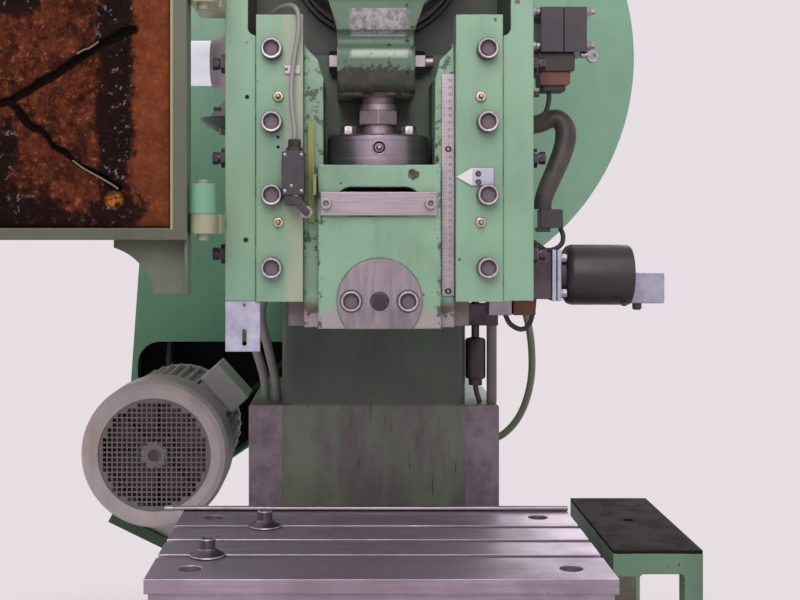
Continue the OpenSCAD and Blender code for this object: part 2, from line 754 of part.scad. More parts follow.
// From the gland up the gib, over its top and into the chamber's back wall
cable_points = [for (p = [
    [-11, -114, -177], [-11, -114, -164], [-14, -112, -136], [-16, -110, -104], [-13, -108, -71],
    [-9, -107, -46], [-6, -106, -24], [-6, -105, -4], [-10, -102, 8], [-20, -90, 14],
    [-34, -72, 13], [-46, -50, 8], [-55, -20, 2], [-60, 20, -4], [-62, 56, -8], [-62, 71.9, -8]
]) [p[0] - gib_x0, p[1], p[2] + gib_top]];

// Rings of a tube swept along a list of points
function unit(v) = v / norm(v);
function path_dir(p, i) = unit(p[min(i + 1, len(p) - 1)] - p[max(i - 1, 0)]);
function ring(p, i, r, sides) =
    let (d = path_dir(p, i), a = unit(cross(d, [0.2, 1, 0.1])), b = cross(d, a))
    [for (k = [0:sides - 1]) p[i] + r * (a * cos(360 * k / sides) + b * sin(360 * k / sides))];

module tube_along(p, r, sides) {
    n = len(p);
    pts = [for (i = [0:n - 1]) each ring(p, i, r, sides)];
    faces = concat(
        [[for (k = [0:sides - 1]) k]],
        [for (i = [0:n - 2], k = [0:sides - 1])
            [i * sides + k, (i + 1) * sides + k, (i + 1) * sides + (k + 1) % sides, i * sides + (k + 1) % sides]],
        [[for (k = [0:sides - 1]) n * sides - 1 - k]]
    );
    polyhedron(pts, faces);
}

module switch_cable() color(grey) tube_along(cable_points, 3.6, 8);

module cable_clip() color(steel) difference() {
    block([-gib_x0 - 26, gib_front - 3, gib_top - 84], [-gib_x0 - 4, gib_front, gib_top - 72]);
    cyl_y(2, gib_front - 4, gib_front + 1, -gib_x0 - 23, gib_top - 78);
}

// Flywheel and clutch

wheel_hole_at = 222;
wheel_hole_r = 58;

module flywheel() color(dark_steel) difference() {
    union() {
        translate([0, wheel_s, crank_z]) rotate([-90, 0, 0]) difference() {
            cylinder(r = flywheel_r, h = wheel_w, $fn = 120);
            translate([0, 0, -1]) cylinder(r = flywheel_r - 60, h = wheel_w + 2, $fn = 96);
        }
        translate([0, wheel_s + 28, crank_z]) rotate([-90, 0, 0]) cylinder(r = flywheel_r - 59, h = 26, $fn = 96);
        cyl_y(95, wheel_s - 4, wheel_s + wheel_w + 4, 0, crank_z);
    }
    cyl_y(shaft_end_r + 15, wheel_s - 5, wheel_s + wheel_w + 5, 0, crank_z);
    for (a = [0:60:300])
        cyl_y(wheel_hole_r, wheel_s, wheel_s + wheel_w, wheel_hole_at * cos(a), crank_z + wheel_hole_at * sin(a));
    for (i = [0:belt_count - 1])
        translate([0, wheel_s + groove_s(i) - belt_w / 2 - 0.5, crank_z]) rotate([-90, 0, 0]) difference() {
            cylinder(r = flywheel_r + 1, h = belt_w + 1, $fn = 120);
            translate([0, 0, -1]) cylinder(r = flywheel_r - belt_t - 0.5, h = belt_w + 3, $fn = 120);
        }
}

function groove_s(i) = wheel_w / 2 + (i - (belt_count - 1) / 2) * groove_pitch;

module flywheel_bush() color(bronze) difference() {
    cyl_y(shaft_end_r + 15, wheel_s - 4, wheel_s + wheel_w + 4, 0, crank_z);
    cyl_y(shaft_end_r + fit, wheel_s - 5, wheel_s + wheel_w + 5, 0, crank_z);
}

module clutch_brake() color(dark_steel) difference() {
    union() {
        cyl_y(170, frame_back + 45, frame_back + 75, 0, crank_z);
        cyl_y(90, frame_back + 20, wheel_s - 6, 0, crank_z);
    }
    cyl_y(shaft_end_r, frame_back + 19, wheel_s - 5, 0, crank_z);
    for (a = [0:45:315]) cyl_y(8, frame_back + 44, frame_back + 76, 135 * cos(a), crank_z + 135 * sin(a));
}

// Belt guard

module guard_loop(inset) belt_outline([guard_x, guard_z], guard_r - inset, [-motor_x, motor_z], lobe_r - inset);

module belt_guard() color(green) {
    front_outline(guard_s, guard_s + sheet) difference() {
        guard_loop(0);
        translate([0, crank_z]) circle(110);
        // Opening round the motor
        soft_rect([-motor_x - 115, motor_z - 200], [-motor_x + 250, bolster_z + 213], 50);
    }
    front_outline(guard_s + sheet - 0.5, guard_s + guard_d - sheet + 0.5) difference() {
        guard_loop(0);
        guard_loop(sheet);
    }
    front_outline(guard_s + guard_d - sheet, guard_s + guard_d) guard_loop(0);
}

bracket_x = 190;
bracket_rise = 140;
bracket_places = [[-bracket_x, crank_z + bracket_rise], [bracket_x, crank_z + bracket_rise],
                  [bracket_x - 20, head_z + 60]];

module guard_brackets() color(green) for (place = bracket_places) {
    block([place[0] - 25, frame_back, place[1] - 25], [place[0] + 25, frame_back + 12, place[1] + 25]);
    block([place[0] - 5, frame_back + 11, place[1] - 20], [place[0] + 5, guard_s - 11, place[1] + 20]);
    block([place[0] - 25, guard_s - 12, place[1] - 25], [place[0] + 25, guard_s, place[1] + 25]);
}

module v_belts() color(black) for (i = [0:belt_count - 1]) {
    s = wheel_s + groove_s(i) - belt_w / 2;
    front_outline(s, s + belt_w) difference() {
        belt_outline([0, crank_z], flywheel_r, [-motor_x, motor_z], pulley_r);
        belt_outline([0, crank_z], flywheel_r - belt_t, [-motor_x, motor_z], pulley_r - belt_t);
    }
}

// Motor

module at_motor() translate([-motor_x, 0, motor_z]) children();

rotor_r = 19;
body_s = motor_front + 75;
body_end = motor_front + motor_len;
cowl_end = motor_front + 100;
foot_h = 155;
plate_t = 21;
box_tilt = motor_tilt + 22;
box_seat = 126;

module motor_body() color(grey) at_motor() difference() {
    union() {
        cyl_y(112, body_s, body_end - 30, 0, 0);
        for (a = [0:9:351])
            if (abs(a - 270 + motor_tilt) > 30) rotate([0, -a, 0])
                block([105, body_s + 20, -1.4], [126, body_end - 45, 1.4]);
        // End shields
        cyl_y(cowl_r - 3, body_s, body_s + 18, 0, 0);
        cyl_y(122, body_end - 48, body_end - 24, 0, 0);
        translate([0, body_end - 24, 0]) rotate([-90, 0, 0]) cylinder(r1 = 110, r2 = 45, h = 24);
        // Seat of the terminal box
        rotate([0, box_tilt, 0]) block([-38, body_s + 95, 100], [38, body_s + 195, box_seat]);
        // Foot that rests on the sloping plate
        rotate([0, motor_tilt, 0]) block([-15, cowl_end + 12, -foot_h], [95, body_end - 90, -95]);
    }
    cyl_y(rotor_r + fit, body_s - 1, body_end + 1, 0, 0);
}

grille_pitch = 9;
grille_bar = 2.6;
grille_r = 102;

module motor_cowl() color(grey) at_motor() {
    // Drum with a rounded shoulder
    translate([0, motor_front, 0]) rotate([-90, 0, 0]) rotate_extrude($fn = 96)
        polygon([[grille_r, 0], [cowl_r - 16, 0], [cowl_r - 6, 4], [cowl_r, 14], [cowl_r, 100],
                 [cowl_r - 3, 100], [cowl_r - 3, 15], [cowl_r - 9, 7], [cowl_r - 18, 4], [grille_r, 4]]);
    // Square wire grille
    front_outline(motor_front + 1, motor_front + 3.6) difference() {
        circle(grille_r + 1, $fn = 96);
        for (i = [-11:11], j = [-11:11])
            if (norm([i, j]) * grille_pitch + 6 < grille_r && norm([i, j]) * grille_pitch > 21)
                translate([i * grille_pitch, j * grille_pitch]) square(grille_pitch - grille_bar, center = true);
    }
    cyl_y(7, motor_front - 2, motor_front + 2, 0, 0);
}

module motor_rotor() color(steel) at_motor() {
    cyl_y(rotor_r, motor_front + 20, wheel_s + wheel_w + 2, 0, 0);
    // Fan
    difference() {
        union() {
            cyl_y(100, motor_front + 56, motor_front + 60, 0, 0);
            cyl_y(34, motor_front + 24, motor_front + 58, 0, 0);
            for (a = [0:45:315]) rotate([0, a, 0]) block([30, motor_front + 28, -2], [100, motor_front + 57, 2]);
        }
        cyl_y(rotor_r - 1, motor_front + 22, motor_front + 61, 0, 0);
    }
    // Grooved pulley
    difference() {
        cyl_y(pulley_r, wheel_s, wheel_s + wheel_w, 0, 0);
        cyl_y(rotor_r - 1, wheel_s - 1, wheel_s + wheel_w + 1, 0, 0);
        for (i = [0:belt_count - 1])
            translate([0, wheel_s + groove_s(i) - belt_w / 2 - 0.5, 0]) rotate([-90, 0, 0]) difference() {
                cylinder(r = pulley_r + 1, h = belt_w + 1);
                translate([0, 0, -1]) cylinder(r = pulley_r - belt_t - 0.5, h = belt_w + 3);
            }
    }
}

module terminal_box() color(grey) at_motor() rotate([0, box_tilt, 0])
    block([-45, body_s + 90, box_seat], [45, body_s + 200, box_seat + 46]);

module motor_plate() color(dark_green) {
    length = (motor_x - frame_w / 2 - 1.5 + foot_h * sin(motor_tilt)) / cos(motor_tilt);
    at_motor() rotate([0, motor_tilt, 0])
        block([-29, cowl_end + 1, -foot_h - plate_t], [length, body_end - 60, -foot_h]);
    // Gusset between the plate's underside and the frame's side
    slope = tan(motor_tilt);
    under = motor_z - (foot_h + plate_t) / cos(motor_tilt) - (motor_x - frame_w / 2) * slope + 2;
    front_outline(body_s + 80, body_s + 130)
        polygon([[-frame_w / 2, under], [-frame_w / 2 - 110, under + 110 * slope],
                 [-frame_w / 2 - 110, under + 110 * slope - 20], [-frame_w / 2, under - 130]]);
}

// Pneumatic valve, silencer and hose on the right

valve_x = [frame_w / 2 + 19, frame_w / 2 + 86];
valve_z = [bolster_z + 722, bolster_z + 788];
valve_s = [-35, 45];

module valve_block() color(black) {
    mid = (valve_x[0] + valve_x[1]) / 2;
    block([valve_x[0], valve_s[0], valve_z[0]], [mid - 0.6, valve_s[1], valve_z[1]]);
    block([mid + 0.6, valve_s[0], valve_z[0]], [valve_x[1], valve_s[1], valve_z[1]]);
    block([valve_x[0] + 4, valve_s[0] + 5, valve_z[0] + 5], [valve_x[1] - 4, valve_s[1] - 5, valve_z[1] - 5]);
}

module valve_studs() color(steel) for (s = [valve_s[0] + 12, valve_s[1] - 12], z = [valve_z[0] + 10, valve_z[1] - 6]) {
    cyl_x(7, frame_w / 2, valve_x[0], s, z);
    hex_x(13, valve_x[1], valve_x[1] + 7, s, z);
    cyl_x(4, valve_x[1] + 6, valve_x[1] + 14, s, z);
}

module silencer() color(dark_steel) {
    x = valve_x[0] + 26;
    z = valve_z[0];
    cyl_z(26, z - 22, z, x, 0);
    cyl_z(24, z - 46, z - 21, x, 0);
    translate([x, 0, z - 56]) cylinder(r1 = 17, r2 = 24, h = 11);
}

// Out of its boot on the frame's side, over and down to its plug
hose_points = [for (p = [
    [15, 40, 258], [30, 38, 262], [44, 36, 268], [57, 33, 267], [65, 31, 255], [66, 29, 238],
    [61, 27, 218], [53, 25, 198], [44, 23, 178], [36, 21, 160], [31, 20, 145], [30, 20, 131]
]) [p[0] + frame_w / 2, p[1], p[2] + head_z]];

module hose_elbow() color(black) {
    boot = hose_points[0];
    plug = hose_points[len(hose_points) - 1];
    cyl_x(20, frame_w / 2, frame_w / 2 + 12, boot[1], boot[2]);
    translate([frame_w / 2 + 12, boot[1], boot[2]]) rotate([0, 90, 0]) cylinder(r1 = 20, r2 = 16, h = 6);
    tube_along(hose_points, 14, 12);
    block([plug[0] - 6, plug[1] - 16, plug[2] - 28], [plug[0] + 28, plug[1] + 16, plug[2] + 0.5]);
}

// Rotary cam switch

cam_unit_z = head_z + 32.5;
cam_unit_s = 30;

// Drum with a rounded shoulder on the mount's plate, and a terminal cover at its far end
module cam_switch() color(black) {
    x0 = frame_w / 2 + 54;
    drum = [[0, 0], [32, 0], [32, 8], [38, 9], [43, 13], [45.5, 19], [45.5, 106], [44, 108], [0, 108]];
    translate([x0, cam_unit_s, cam_unit_z]) rotate([0, 90, 0]) rotate_extrude() polygon(drum);
    block([x0 + 107, cam_unit_s - 6, cam_unit_z - 43], [x0 + 160, cam_unit_s + 30, cam_unit_z + 3]);
}

// Block and plate on the frame's side, and two blocks under the cheek
module cam_switch_mount() color(steel) {
    x0 = frame_w / 2;
    block([x0, cam_unit_s - 34, cam_unit_z - 35], [x0 + 40, cam_unit_s + 34, cam_unit_z + 35]);
    block([x0 + 40, cam_unit_s - 37, cam_unit_z - 38], [x0 + 54, cam_unit_s + 37, cam_unit_z + 38]);
    block([x0 - 50, cam_unit_s, head_z - 29], [x0 - 15, cam_unit_s + 50, head_z]);
    block([x0 - 13, cam_unit_s, head_z - 29], [x0 + 21, cam_unit_s + 50, head_z]);
}

// Front door on the left, swung open

module guard_door() color(grey_green) {
    left = door_right - door_w;
    front = hinge_s - door_t / 2;
    top = door_z + door_h;
    // Rim
    front_outline(front, front + door_t) difference() {
        translate([left, door_z]) square([door_w, door_h]);
        translate([left + 22, door_z + 16]) square([door_w - 44, door_h - 38]);
    }
    // Skin behind the lining
    front_outline(front + door_t - sheet, front + door_t)
        translate([left + 21, door_z + 15]) square([door_w - 42, door_h - 36]);
    // Skirt below the bottom rail with a hollow left edge
    front_outline(front + door_t - sheet, front + door_t) difference() {
        translate([door_right - 105, door_z - 74]) square([105, 75]);
        translate([door_right - 126, door_z - 84]) circle(76);
    }
    block([door_right - sheet, front + 8, door_z - 74], [door_right, front + door_t, door_z + 1]);
    // Hinge barrels
    for (z = hinge_levels) difference() {
        union() {
            cyl_z(18, z, z + 41, hinge_x, hinge_s);
            block([door_right - 1, hinge_s - 3, z], [hinge_x, hinge_s + 3, z + 41]);
        }
        cyl_z(8 + fit, z - 1, z + 42, hinge_x, hinge_s);
    }
}

hinge_levels = [door_z + 35, door_z + 346];

module door_lining() color([0.35, 0.17, 0.08]) {
    left = door_right - door_w;
    front = hinge_s - door_t / 2;
    block([left + 22.3, front + 3, door_z + 16.3], [door_right - 22.3, front + door_t - sheet - 0.3, door_z + door_h - 22.3]);
}

// Lugs on the frame's side, each with a fixed hinge pin
module door_hinges() color(cream) for (z = hinge_levels) {
    cyl_z(18, z - 27, z - 0.3, hinge_x, hinge_s);
    block([hinge_x - 18, hinge_s, z - 27], [hinge_x + 18, cheek_front + 40, z - 0.3]);
    block([hinge_x - 18, cheek_front - 50, z - 27], [-frame_w / 2, cheek_front + 40, z - 0.3]);
    cyl_z(8, z - 36, z + 46, hinge_x, hinge_s);
}

// Lubricator on the left side of the frame: bell flange, glass, and a drip dish on its bracket
module oil_reservoir() color([0.85, 0.85, 0.87]) {
    bell = [[0, 0], [55, 0], [55, 7], [47, 11], [40, 19], [36, 33], [34, 34], [34, 73], [30, 77], [0, 77]];
    z = head_z + 353;
    translate([-frame_w / 2, 40, z]) rotate([0, -90, 0]) rotate_extrude() polygon(bell);
    block([-frame_w / 2 - 14, 28, z - 112], [-frame_w / 2, 52, z - 54]);
    translate([-frame_w / 2 - 22, 40, z - 106]) difference() {
        rotate_extrude() polygon([[0, 0], [18, 0], [30, 14], [30, 18], [26, 18], [15, 4], [0, 4]]);
        translate([22, -40, -1]) cube([40, 80, 30]);
    }
}

// Slotted sheet plate under the left cheek
module side_plate() color(zinc) difference() {
    left = -frame_w / 2;
    front_outline(cheek_front + 2, cheek_front + 4)
        polygon([[left, head_z - 72], [left + wall + 6, head_z - 72], [left + wall + 6, head_z - 2],
                 [left + wall - 1, head_z - 2], [left + wall - 1, head_z], [left, head_z]]);
    cyl_y(2.5, cheek_front, cheek_front + 5, left + 27, head_z - 6);
    front_outline(cheek_front, cheek_front + 5)
        soft_rect([left + 24, head_z - 64], [left + 30, head_z - 40], 2.9);
}

// From the lower block's side up to the head's side: outward, along the throat, and a share of the way up
drain_points = [for (p = [
    [0.1, 150, 0], [10, 150, 0], [26, 142, 0.03], [44, 132, 0.09], [58, 122, 0.17], [67, 113, 0.26],
    [72, 106, 0.36], [72, 100, 0.47], [68, 95, 0.58], [60, 91, 0.69], [49, 88, 0.79], [36, 86, 0.88],
    [22, 85, 0.95], [9, 85, 1], [0.1, 85, 1]
]) [p[0] + frame_w / 2, p[1] + throat, block_z - 84 + p[2] * (head_z - block_z + 136)]];

// Conduits down the neck, the pipe and the hanging level switch on the right, and the drain pipe
module conduits() color(grey) {
    for (i = [0, 1]) cyl_z(8, block_z, head_z, -neck_w / 2 - 22 - 22 * i, throat + 60 + 30 * i);
    cyl_z(9, block_z, head_z, neck_w / 2 + 47.5, throat + 30);
    tube_along(drain_points, 6.5, 10);
    translate([neck_w / 2 + 19, throat + 33, 0]) {
        translate([0, 0, head_z - 174]) rotate_extrude()
            polygon([[0, 0], [12, 0], [12, 10], [17, 12], [18, 16], [18, 78], [16, 82], [8, 84], [0, 84]]);
        translate([0, 0, head_z - 91]) cylinder(r = 7, h = 91);
    }
    // Block that holds the pipe and the level switch
    block([neck_w / 2 + 4, throat + 12, head_z - 68], [neck_w / 2 + 57, throat + 53, head_z - 30]);
}

at_press() frame();
at_press() gib_plate_left();
at_press() gib_plate_right();
at_press() gib_screws();
at_press() gib_adjusters();
at_press() wear_strips();
at_press() grease_nipples();
at_press() bolster();
at_press() bolster_screws();
at_press() t_bolts();
at_press() blow_off_tube();
at_press() feed_console();
at_press() console_plate();
at_press() shaft_bushes();
at_press() crankshaft();
at_press() eccentric();
at_press() con_rod();
at_press() con_rod_bush();
at_press() clamp_bolt();
at_press() ball_screw();
at_press() ball_cup();
at_press() ball_retainer();
at_press() retainer_bolts();
at_press() ram();
at_press() knockout_bar();
at_press() slot_plate();
at_press() shank_clamp();
at_press() shank_clamp_screws();
at_press() shank_set_screw();
at_press() stroke_scale();
at_press() scale_pointer();
at_press() trip_cam();
at_press() switch_body();
at_press() switch_lever();
at_press() switch_roller();
at_press() switch_cable();
at_press() cable_clip();
at_press() flywheel();
at_press() flywheel_bush();
at_press() clutch_brake();
at_press() belt_guard();
at_press() guard_brackets();
at_press() v_belts();
at_press() motor_body();
at_press() motor_cowl();
at_press() motor_rotor();
at_press() terminal_box();
at_press() motor_plate();
at_press() valve_block();
at_press() valve_studs();
at_press() silencer();
at_press() hose_elbow();
at_press() cam_switch();
at_press() cam_switch_mount();
at_press() guard_door();
at_press() door_lining();
at_press() door_hinges();
at_press() oil_reservoir();
at_press() side_plate();
at_press() conduits();
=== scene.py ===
import json
import math
from collections import namedtuple

import bmesh
import bpy
from mathutils import Matrix, Vector, noise


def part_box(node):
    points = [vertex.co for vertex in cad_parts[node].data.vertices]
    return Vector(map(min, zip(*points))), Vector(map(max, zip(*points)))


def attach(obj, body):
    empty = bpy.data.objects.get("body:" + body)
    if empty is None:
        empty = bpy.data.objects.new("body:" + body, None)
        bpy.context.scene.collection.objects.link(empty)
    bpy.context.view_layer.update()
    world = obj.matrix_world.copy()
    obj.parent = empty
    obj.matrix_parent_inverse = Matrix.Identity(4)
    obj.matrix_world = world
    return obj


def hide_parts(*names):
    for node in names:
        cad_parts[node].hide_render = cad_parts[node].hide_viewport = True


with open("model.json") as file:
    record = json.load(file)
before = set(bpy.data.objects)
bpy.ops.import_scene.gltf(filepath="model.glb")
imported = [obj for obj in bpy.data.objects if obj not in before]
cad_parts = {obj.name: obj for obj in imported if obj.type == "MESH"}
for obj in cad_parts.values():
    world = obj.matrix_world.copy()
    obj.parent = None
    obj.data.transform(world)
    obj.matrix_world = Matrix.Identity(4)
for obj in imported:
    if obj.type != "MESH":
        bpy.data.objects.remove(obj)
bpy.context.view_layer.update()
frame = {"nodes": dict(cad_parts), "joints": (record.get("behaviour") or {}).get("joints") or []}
SCENE = bpy.context.scene
MM = 0.001

# Press coordinates: x to the right, s from the ram axis away from the operator, z above the floor, in mm

JOINTS = {joint["name"]: joint for joint in frame["joints"]}
RAM_AXIS_Y = JOINTS["conrod_swing"]["pos_m"][1] / MM
MOTOR_X = JOINTS["motor_spin"]["pos_m"][0] / MM
MOTOR_Z = JOINTS["motor_spin"]["pos_m"][2] / MM
Extent = namedtuple("Extent", "x0 x1 s0 s1 z0 z1")


def press(x, s, z):
    """A point of the press, in metres."""
    return Vector((x, s + RAM_AXIS_Y, z)) * MM


def extent(node):
    """The sides of a solid's box in press coordinates."""
    low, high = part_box(node)
    front, back = low.y / MM - RAM_AXIS_Y, high.y / MM - RAM_AXIS_Y
    return Extent(low.x / MM, high.x / MM, front, back, low.z / MM, high.z / MM)


FRAME = extent("frame")
BOLSTER = extent("bolster")
GIB = extent("gib_plate_right")
T_BOLTS = extent("t_bolts")
RAM = extent("ram")
RETAINER = extent("ball_retainer")
SCALE = extent("stroke_scale")
SWITCH = extent("switch_body")
DOOR = extent("guard_door")
LINING = extent("door_lining")
COWL = extent("motor_cowl")
VALVE = extent("valve_block")
CONSOLE = extent("feed_console")
CAM_SWITCH = extent("cam_switch")
GUARD_FRONT = extent("belt_guard").s0
FRAME_HALF = -extent("side_plate").x0
HEAD_Z = GIB.z0 + 1
BLOCK_TOP = BOLSTER.z1 + 157
CAP_SCREW = 10
GIB_SCREW_X = extent("gib_screws").x1 - 1.5 * CAP_SCREW
GIB_SCREW_Z = [HEAD_Z + 47 + 102.4 * i for i in range(4)]
NIPPLE_X = extent("grease_nipples").x1 - 6.5
NIPPLE_Z = [HEAD_Z + 111, HEAD_Z + 288]

# Camera, light and floor

LAMP_TINT = (1.0, 0.95, 0.972)
AIR_SHADE = (0.80, 0.752, 0.784, 1)
ROOM_WHITE = (0.798, 0.730, 0.768, 1)
FLOOR_WHITE = (0.86, 0.81, 0.84, 1)


def set_camera():
    """Level camera in front of the ram, shifted as the picture is framed."""
    width, height = 800, 600
    focal = 1240
    vanishing = (350, 228)
    data = bpy.data.cameras.new("press_camera")
    data.sensor_width = 36
    data.lens = data.sensor_width * focal / width
    data.shift_x = (width / 2 - vanishing[0]) / width
    data.shift_y = (vanishing[1] - height / 2) / width
    camera = bpy.data.objects.new("press_camera", data)
    camera.location = press(-41.6, -1843, 1315)
    camera.rotation_euler = (math.radians(90), 0, 0)
    SCENE.collection.objects.link(camera)
    SCENE.camera = camera


def softbox(name, place, size, power, height=None):
    """An area lamp turned to the press's head; height makes it a strip."""
    head = Vector((0, -0.3, 1.4))
    data = bpy.data.lights.new(name, "AREA")
    data.shape = "RECTANGLE"
    data.size = size
    data.size_y = height or size
    data.energy = power
    data.color = LAMP_TINT
    lamp = bpy.data.objects.new(name, data)
    lamp.location = place
    lamp.rotation_euler = (head - Vector(place)).to_track_quat("-Z", "Y").to_euler()
    SCENE.collection.objects.link(lamp)


def set_light():
    """Four softboxes, a dim air round the press and a white room for camera, gloss and glass."""
    softbox("key_softbox", (-0.4, -3.5, 3.2), 2.0, 62)
    softbox("fill_softbox", (1.3, -3.6, 1.8), 1.8, 3)
    softbox("strip_softbox", (0.1, -1.7, 3.3), 1.8, 10, height=0.25)
    softbox("back_softbox", (1.6, 3.4, 3.0), 2.5, 52)
    world = bpy.data.worlds.new("studio_air")
    SCENE.world = world
    world.use_nodes = True
    graph = Graph(world.node_tree)
    path = graph.node("ShaderNodeLightPath").outputs
    seen = graph.plus(path["Is Camera Ray"], path["Is Transmission Ray"])
    seen = graph.math("ADD", seen, path["Is Glossy Ray"], clamp=True)
    shade = graph.node("ShaderNodeBackground", {"Color": AIR_SHADE, "Strength": 0.36})
    shown = graph.node("ShaderNodeBackground", {"Color": ROOM_WHITE, "Strength": 1.0})
    both = graph.node("ShaderNodeMixShader", {0: seen, 1: shade.outputs[0], 2: shown.outputs[0]})
    graph.node("ShaderNodeOutputWorld", {"Surface": both.outputs[0]})


def set_floor():
    """A wide round pale floor that fades into the white of the room behind the press."""
    sides = 96
    radius = 24
    angles = [2 * math.pi * i / sides for i in range(sides)]
    mesh = bpy.data.meshes.new("studio_floor")
    rim = [(radius * math.cos(angle), radius * math.sin(angle), 0) for angle in angles]
    mesh.from_pydata(rim, [], [list(range(sides))])
    floor = bpy.data.objects.new("studio_floor", mesh)
    SCENE.collection.objects.link(floor)
    graph = new_finish("floor_paint", base_color=FLOOR_WHITE, roughness=0.7)
    away = graph.vector("LENGTH", graph.node("ShaderNodeNewGeometry").outputs["Position"])
    white = graph.node("ShaderNodeEmission", {"Color": ROOM_WHITE, "Strength": 1.0}).outputs[0]
    fade = graph.span(away, 1.3, 2.8)
    faded = graph.node("ShaderNodeMixShader", {0: fade, 1: graph.shader.outputs[0], 2: white})
    graph.node("ShaderNodeOutputMaterial", {"Surface": faded.outputs[0]}, is_active_output=True)
    mesh.materials.append(FINISHES["floor_paint"])


# Shader graph helpers

UNSTRETCHED = (1, 1, 1)


class Graph:
    """Short calls that add nodes to one node tree."""

    def __init__(self, tree):
        self.tree = tree
        self.shader = None
        self.places = {}
        tree.nodes.clear()

    def put(self, socket, value):
        if isinstance(value, bpy.types.NodeSocket):
            self.tree.links.new(value, socket)
        else:
            socket.default_value = value

    def node(self, kind, inputs=None, **settings):
        made = self.tree.nodes.new(kind)
        for name, value in settings.items():
            setattr(made, name, value)
        for key, value in (inputs or {}).items():
            self.put(made.inputs[key], value)
        return made

    def math(self, operation, a, b=0.0, clamp=False):
        return self.node("ShaderNodeMath", {0: a, 1: b}, operation=operation, use_clamp=clamp).outputs[0]

    def times(self, first, *factors):
        for factor in factors:
            first = self.math("MULTIPLY", first, factor)
        return first

    def plus(self, a, b):
        return self.math("ADD", a, b)

    def minus(self, a, b):
        return self.math("SUBTRACT", a, b)

    def most(self, a, b):
        return self.math("MAXIMUM", a, b)

    def vector(self, operation, a, b=UNSTRETCHED):
        made = self.node("ShaderNodeVectorMath", {0: a, 1: b}, operation=operation).outputs
        return made["Value"] if operation in ("LENGTH", "DOT_PRODUCT") else made[0]

    def span(self, value, low, high, to_low=0.0, to_high=1.0):
        """A smooth step of value from low to high."""
        inputs = {"Value": value, "From Min": low, "From Max": high, "To Min": to_low, "To Max": to_high}
        return self.node("ShaderNodeMapRange", inputs, interpolation_type="SMOOTHSTEP").outputs[0]

    def mix(self, factor, a, b, blend="MIX"):
        made = self.node("ShaderNodeMix", {0: factor, 6: a, 7: b}, data_type="RGBA", blend_type=blend)
        return made.outputs[2]

    def over(self, paint, colour, mask, amount=1.0):
        """The paint with a colour laid over it where the mask is."""
        return self.mix(self.times(mask, amount), paint, colour)

    def place(self, stretch=UNSTRETCHED):
        """The object's own coordinates in metres, stretched."""
        return self.vector("MULTIPLY", self.node("ShaderNodeTexCoord").outputs["Object"], stretch)

    def noise(self, place, scale, detail=3.0, roughness=0.55):
        inputs = {"Vector": place, "Scale": scale, "Detail": detail, "Roughness": roughness}
        return self.node("ShaderNodeTexNoise", inputs).outputs["Fac"]

    def grain(self, scale, detail=3.0, roughness=0.55, stretch=UNSTRETCHED):
        return self.noise(self.place(stretch), scale, detail, roughness)

    def clouds(self, scale, detail, low, high, roughness=0.55, stretch=UNSTRETCHED, to=(0.0, 1.0)):
        """Where the surface's grain passes from low to high."""
        return self.span(self.grain(scale, detail, roughness, stretch), low, high, *to)

    def along(self, axis):
        """The object's own x, s or z, or its distance across from the middle, in metres."""
        if not self.places:
            source = self.node("ShaderNodeTexCoord").outputs["Object"]
            x, s, z = self.node("ShaderNodeSeparateXYZ", {0: source}).outputs
            self.places = {"x": x, "s": s, "z": z, "across": self.math("ABSOLUTE", x)}
        return self.places[axis]

    def step(self, axis, low, high, to_low=0.0, to_high=1.0):
        """A smooth step along one axis of the press, between two places in mm."""
        shift = RAM_AXIS_Y if axis == "s" else 0
        return self.span(self.along(axis), (low + shift) * MM, (high + shift) * MM, to_low, to_high)

    def away(self, x, z):
        """The distance from a point seen from the front, in metres."""
        shifted = {0: self.minus(self.along("x"), x * MM), 1: self.minus(self.along("z"), z * MM)}
        return self.vector("LENGTH", self.node("ShaderNodeCombineXYZ", shifted).outputs[0])

    def group(self, name, **inputs):
        made = self.node("ShaderNodeGroup", node_tree=GROUPS[name])
        for key, value in inputs.items():
            self.put(made.inputs[key.replace("_", " ").capitalize()], value)
        return made.outputs

    def bump(self, height, distance, normal=None):
        inputs = {"Height": height, "Distance": distance, "Strength": 1.0}
        if normal is not None:
            inputs["Normal"] = normal
        return self.node("ShaderNodeBump", inputs).outputs[0]

    def coat(self, colour, roughness, normal):
        """Sets what changes over the surface on the material's shader."""
        self.put(self.shader.inputs["Base Color"], colour)
        self.put(self.shader.inputs["Roughness"], roughness)
        self.put(self.shader.inputs["Normal"], normal)


GROUPS = {}
SOCKETS = {float: "NodeSocketFloat", tuple: "NodeSocketVector"}


def new_group(name, inputs, outputs):
    """An empty shader group with named sockets."""
    tree = bpy.data.node_groups.new(name, "ShaderNodeTree")
    for socket, value in inputs.items():
        made = tree.interface.new_socket(name=socket, in_out="INPUT", socket_type=SOCKETS[type(value)])
        made.default_value = value
    for socket, kind in outputs.items():
        tree.interface.new_socket(name=socket, in_out="OUTPUT", socket_type=SOCKETS[kind])
    graph = Graph(tree)
    GROUPS[name] = tree
    return graph, graph.node("NodeGroupInput").outputs, graph.node("NodeGroupOutput").inputs


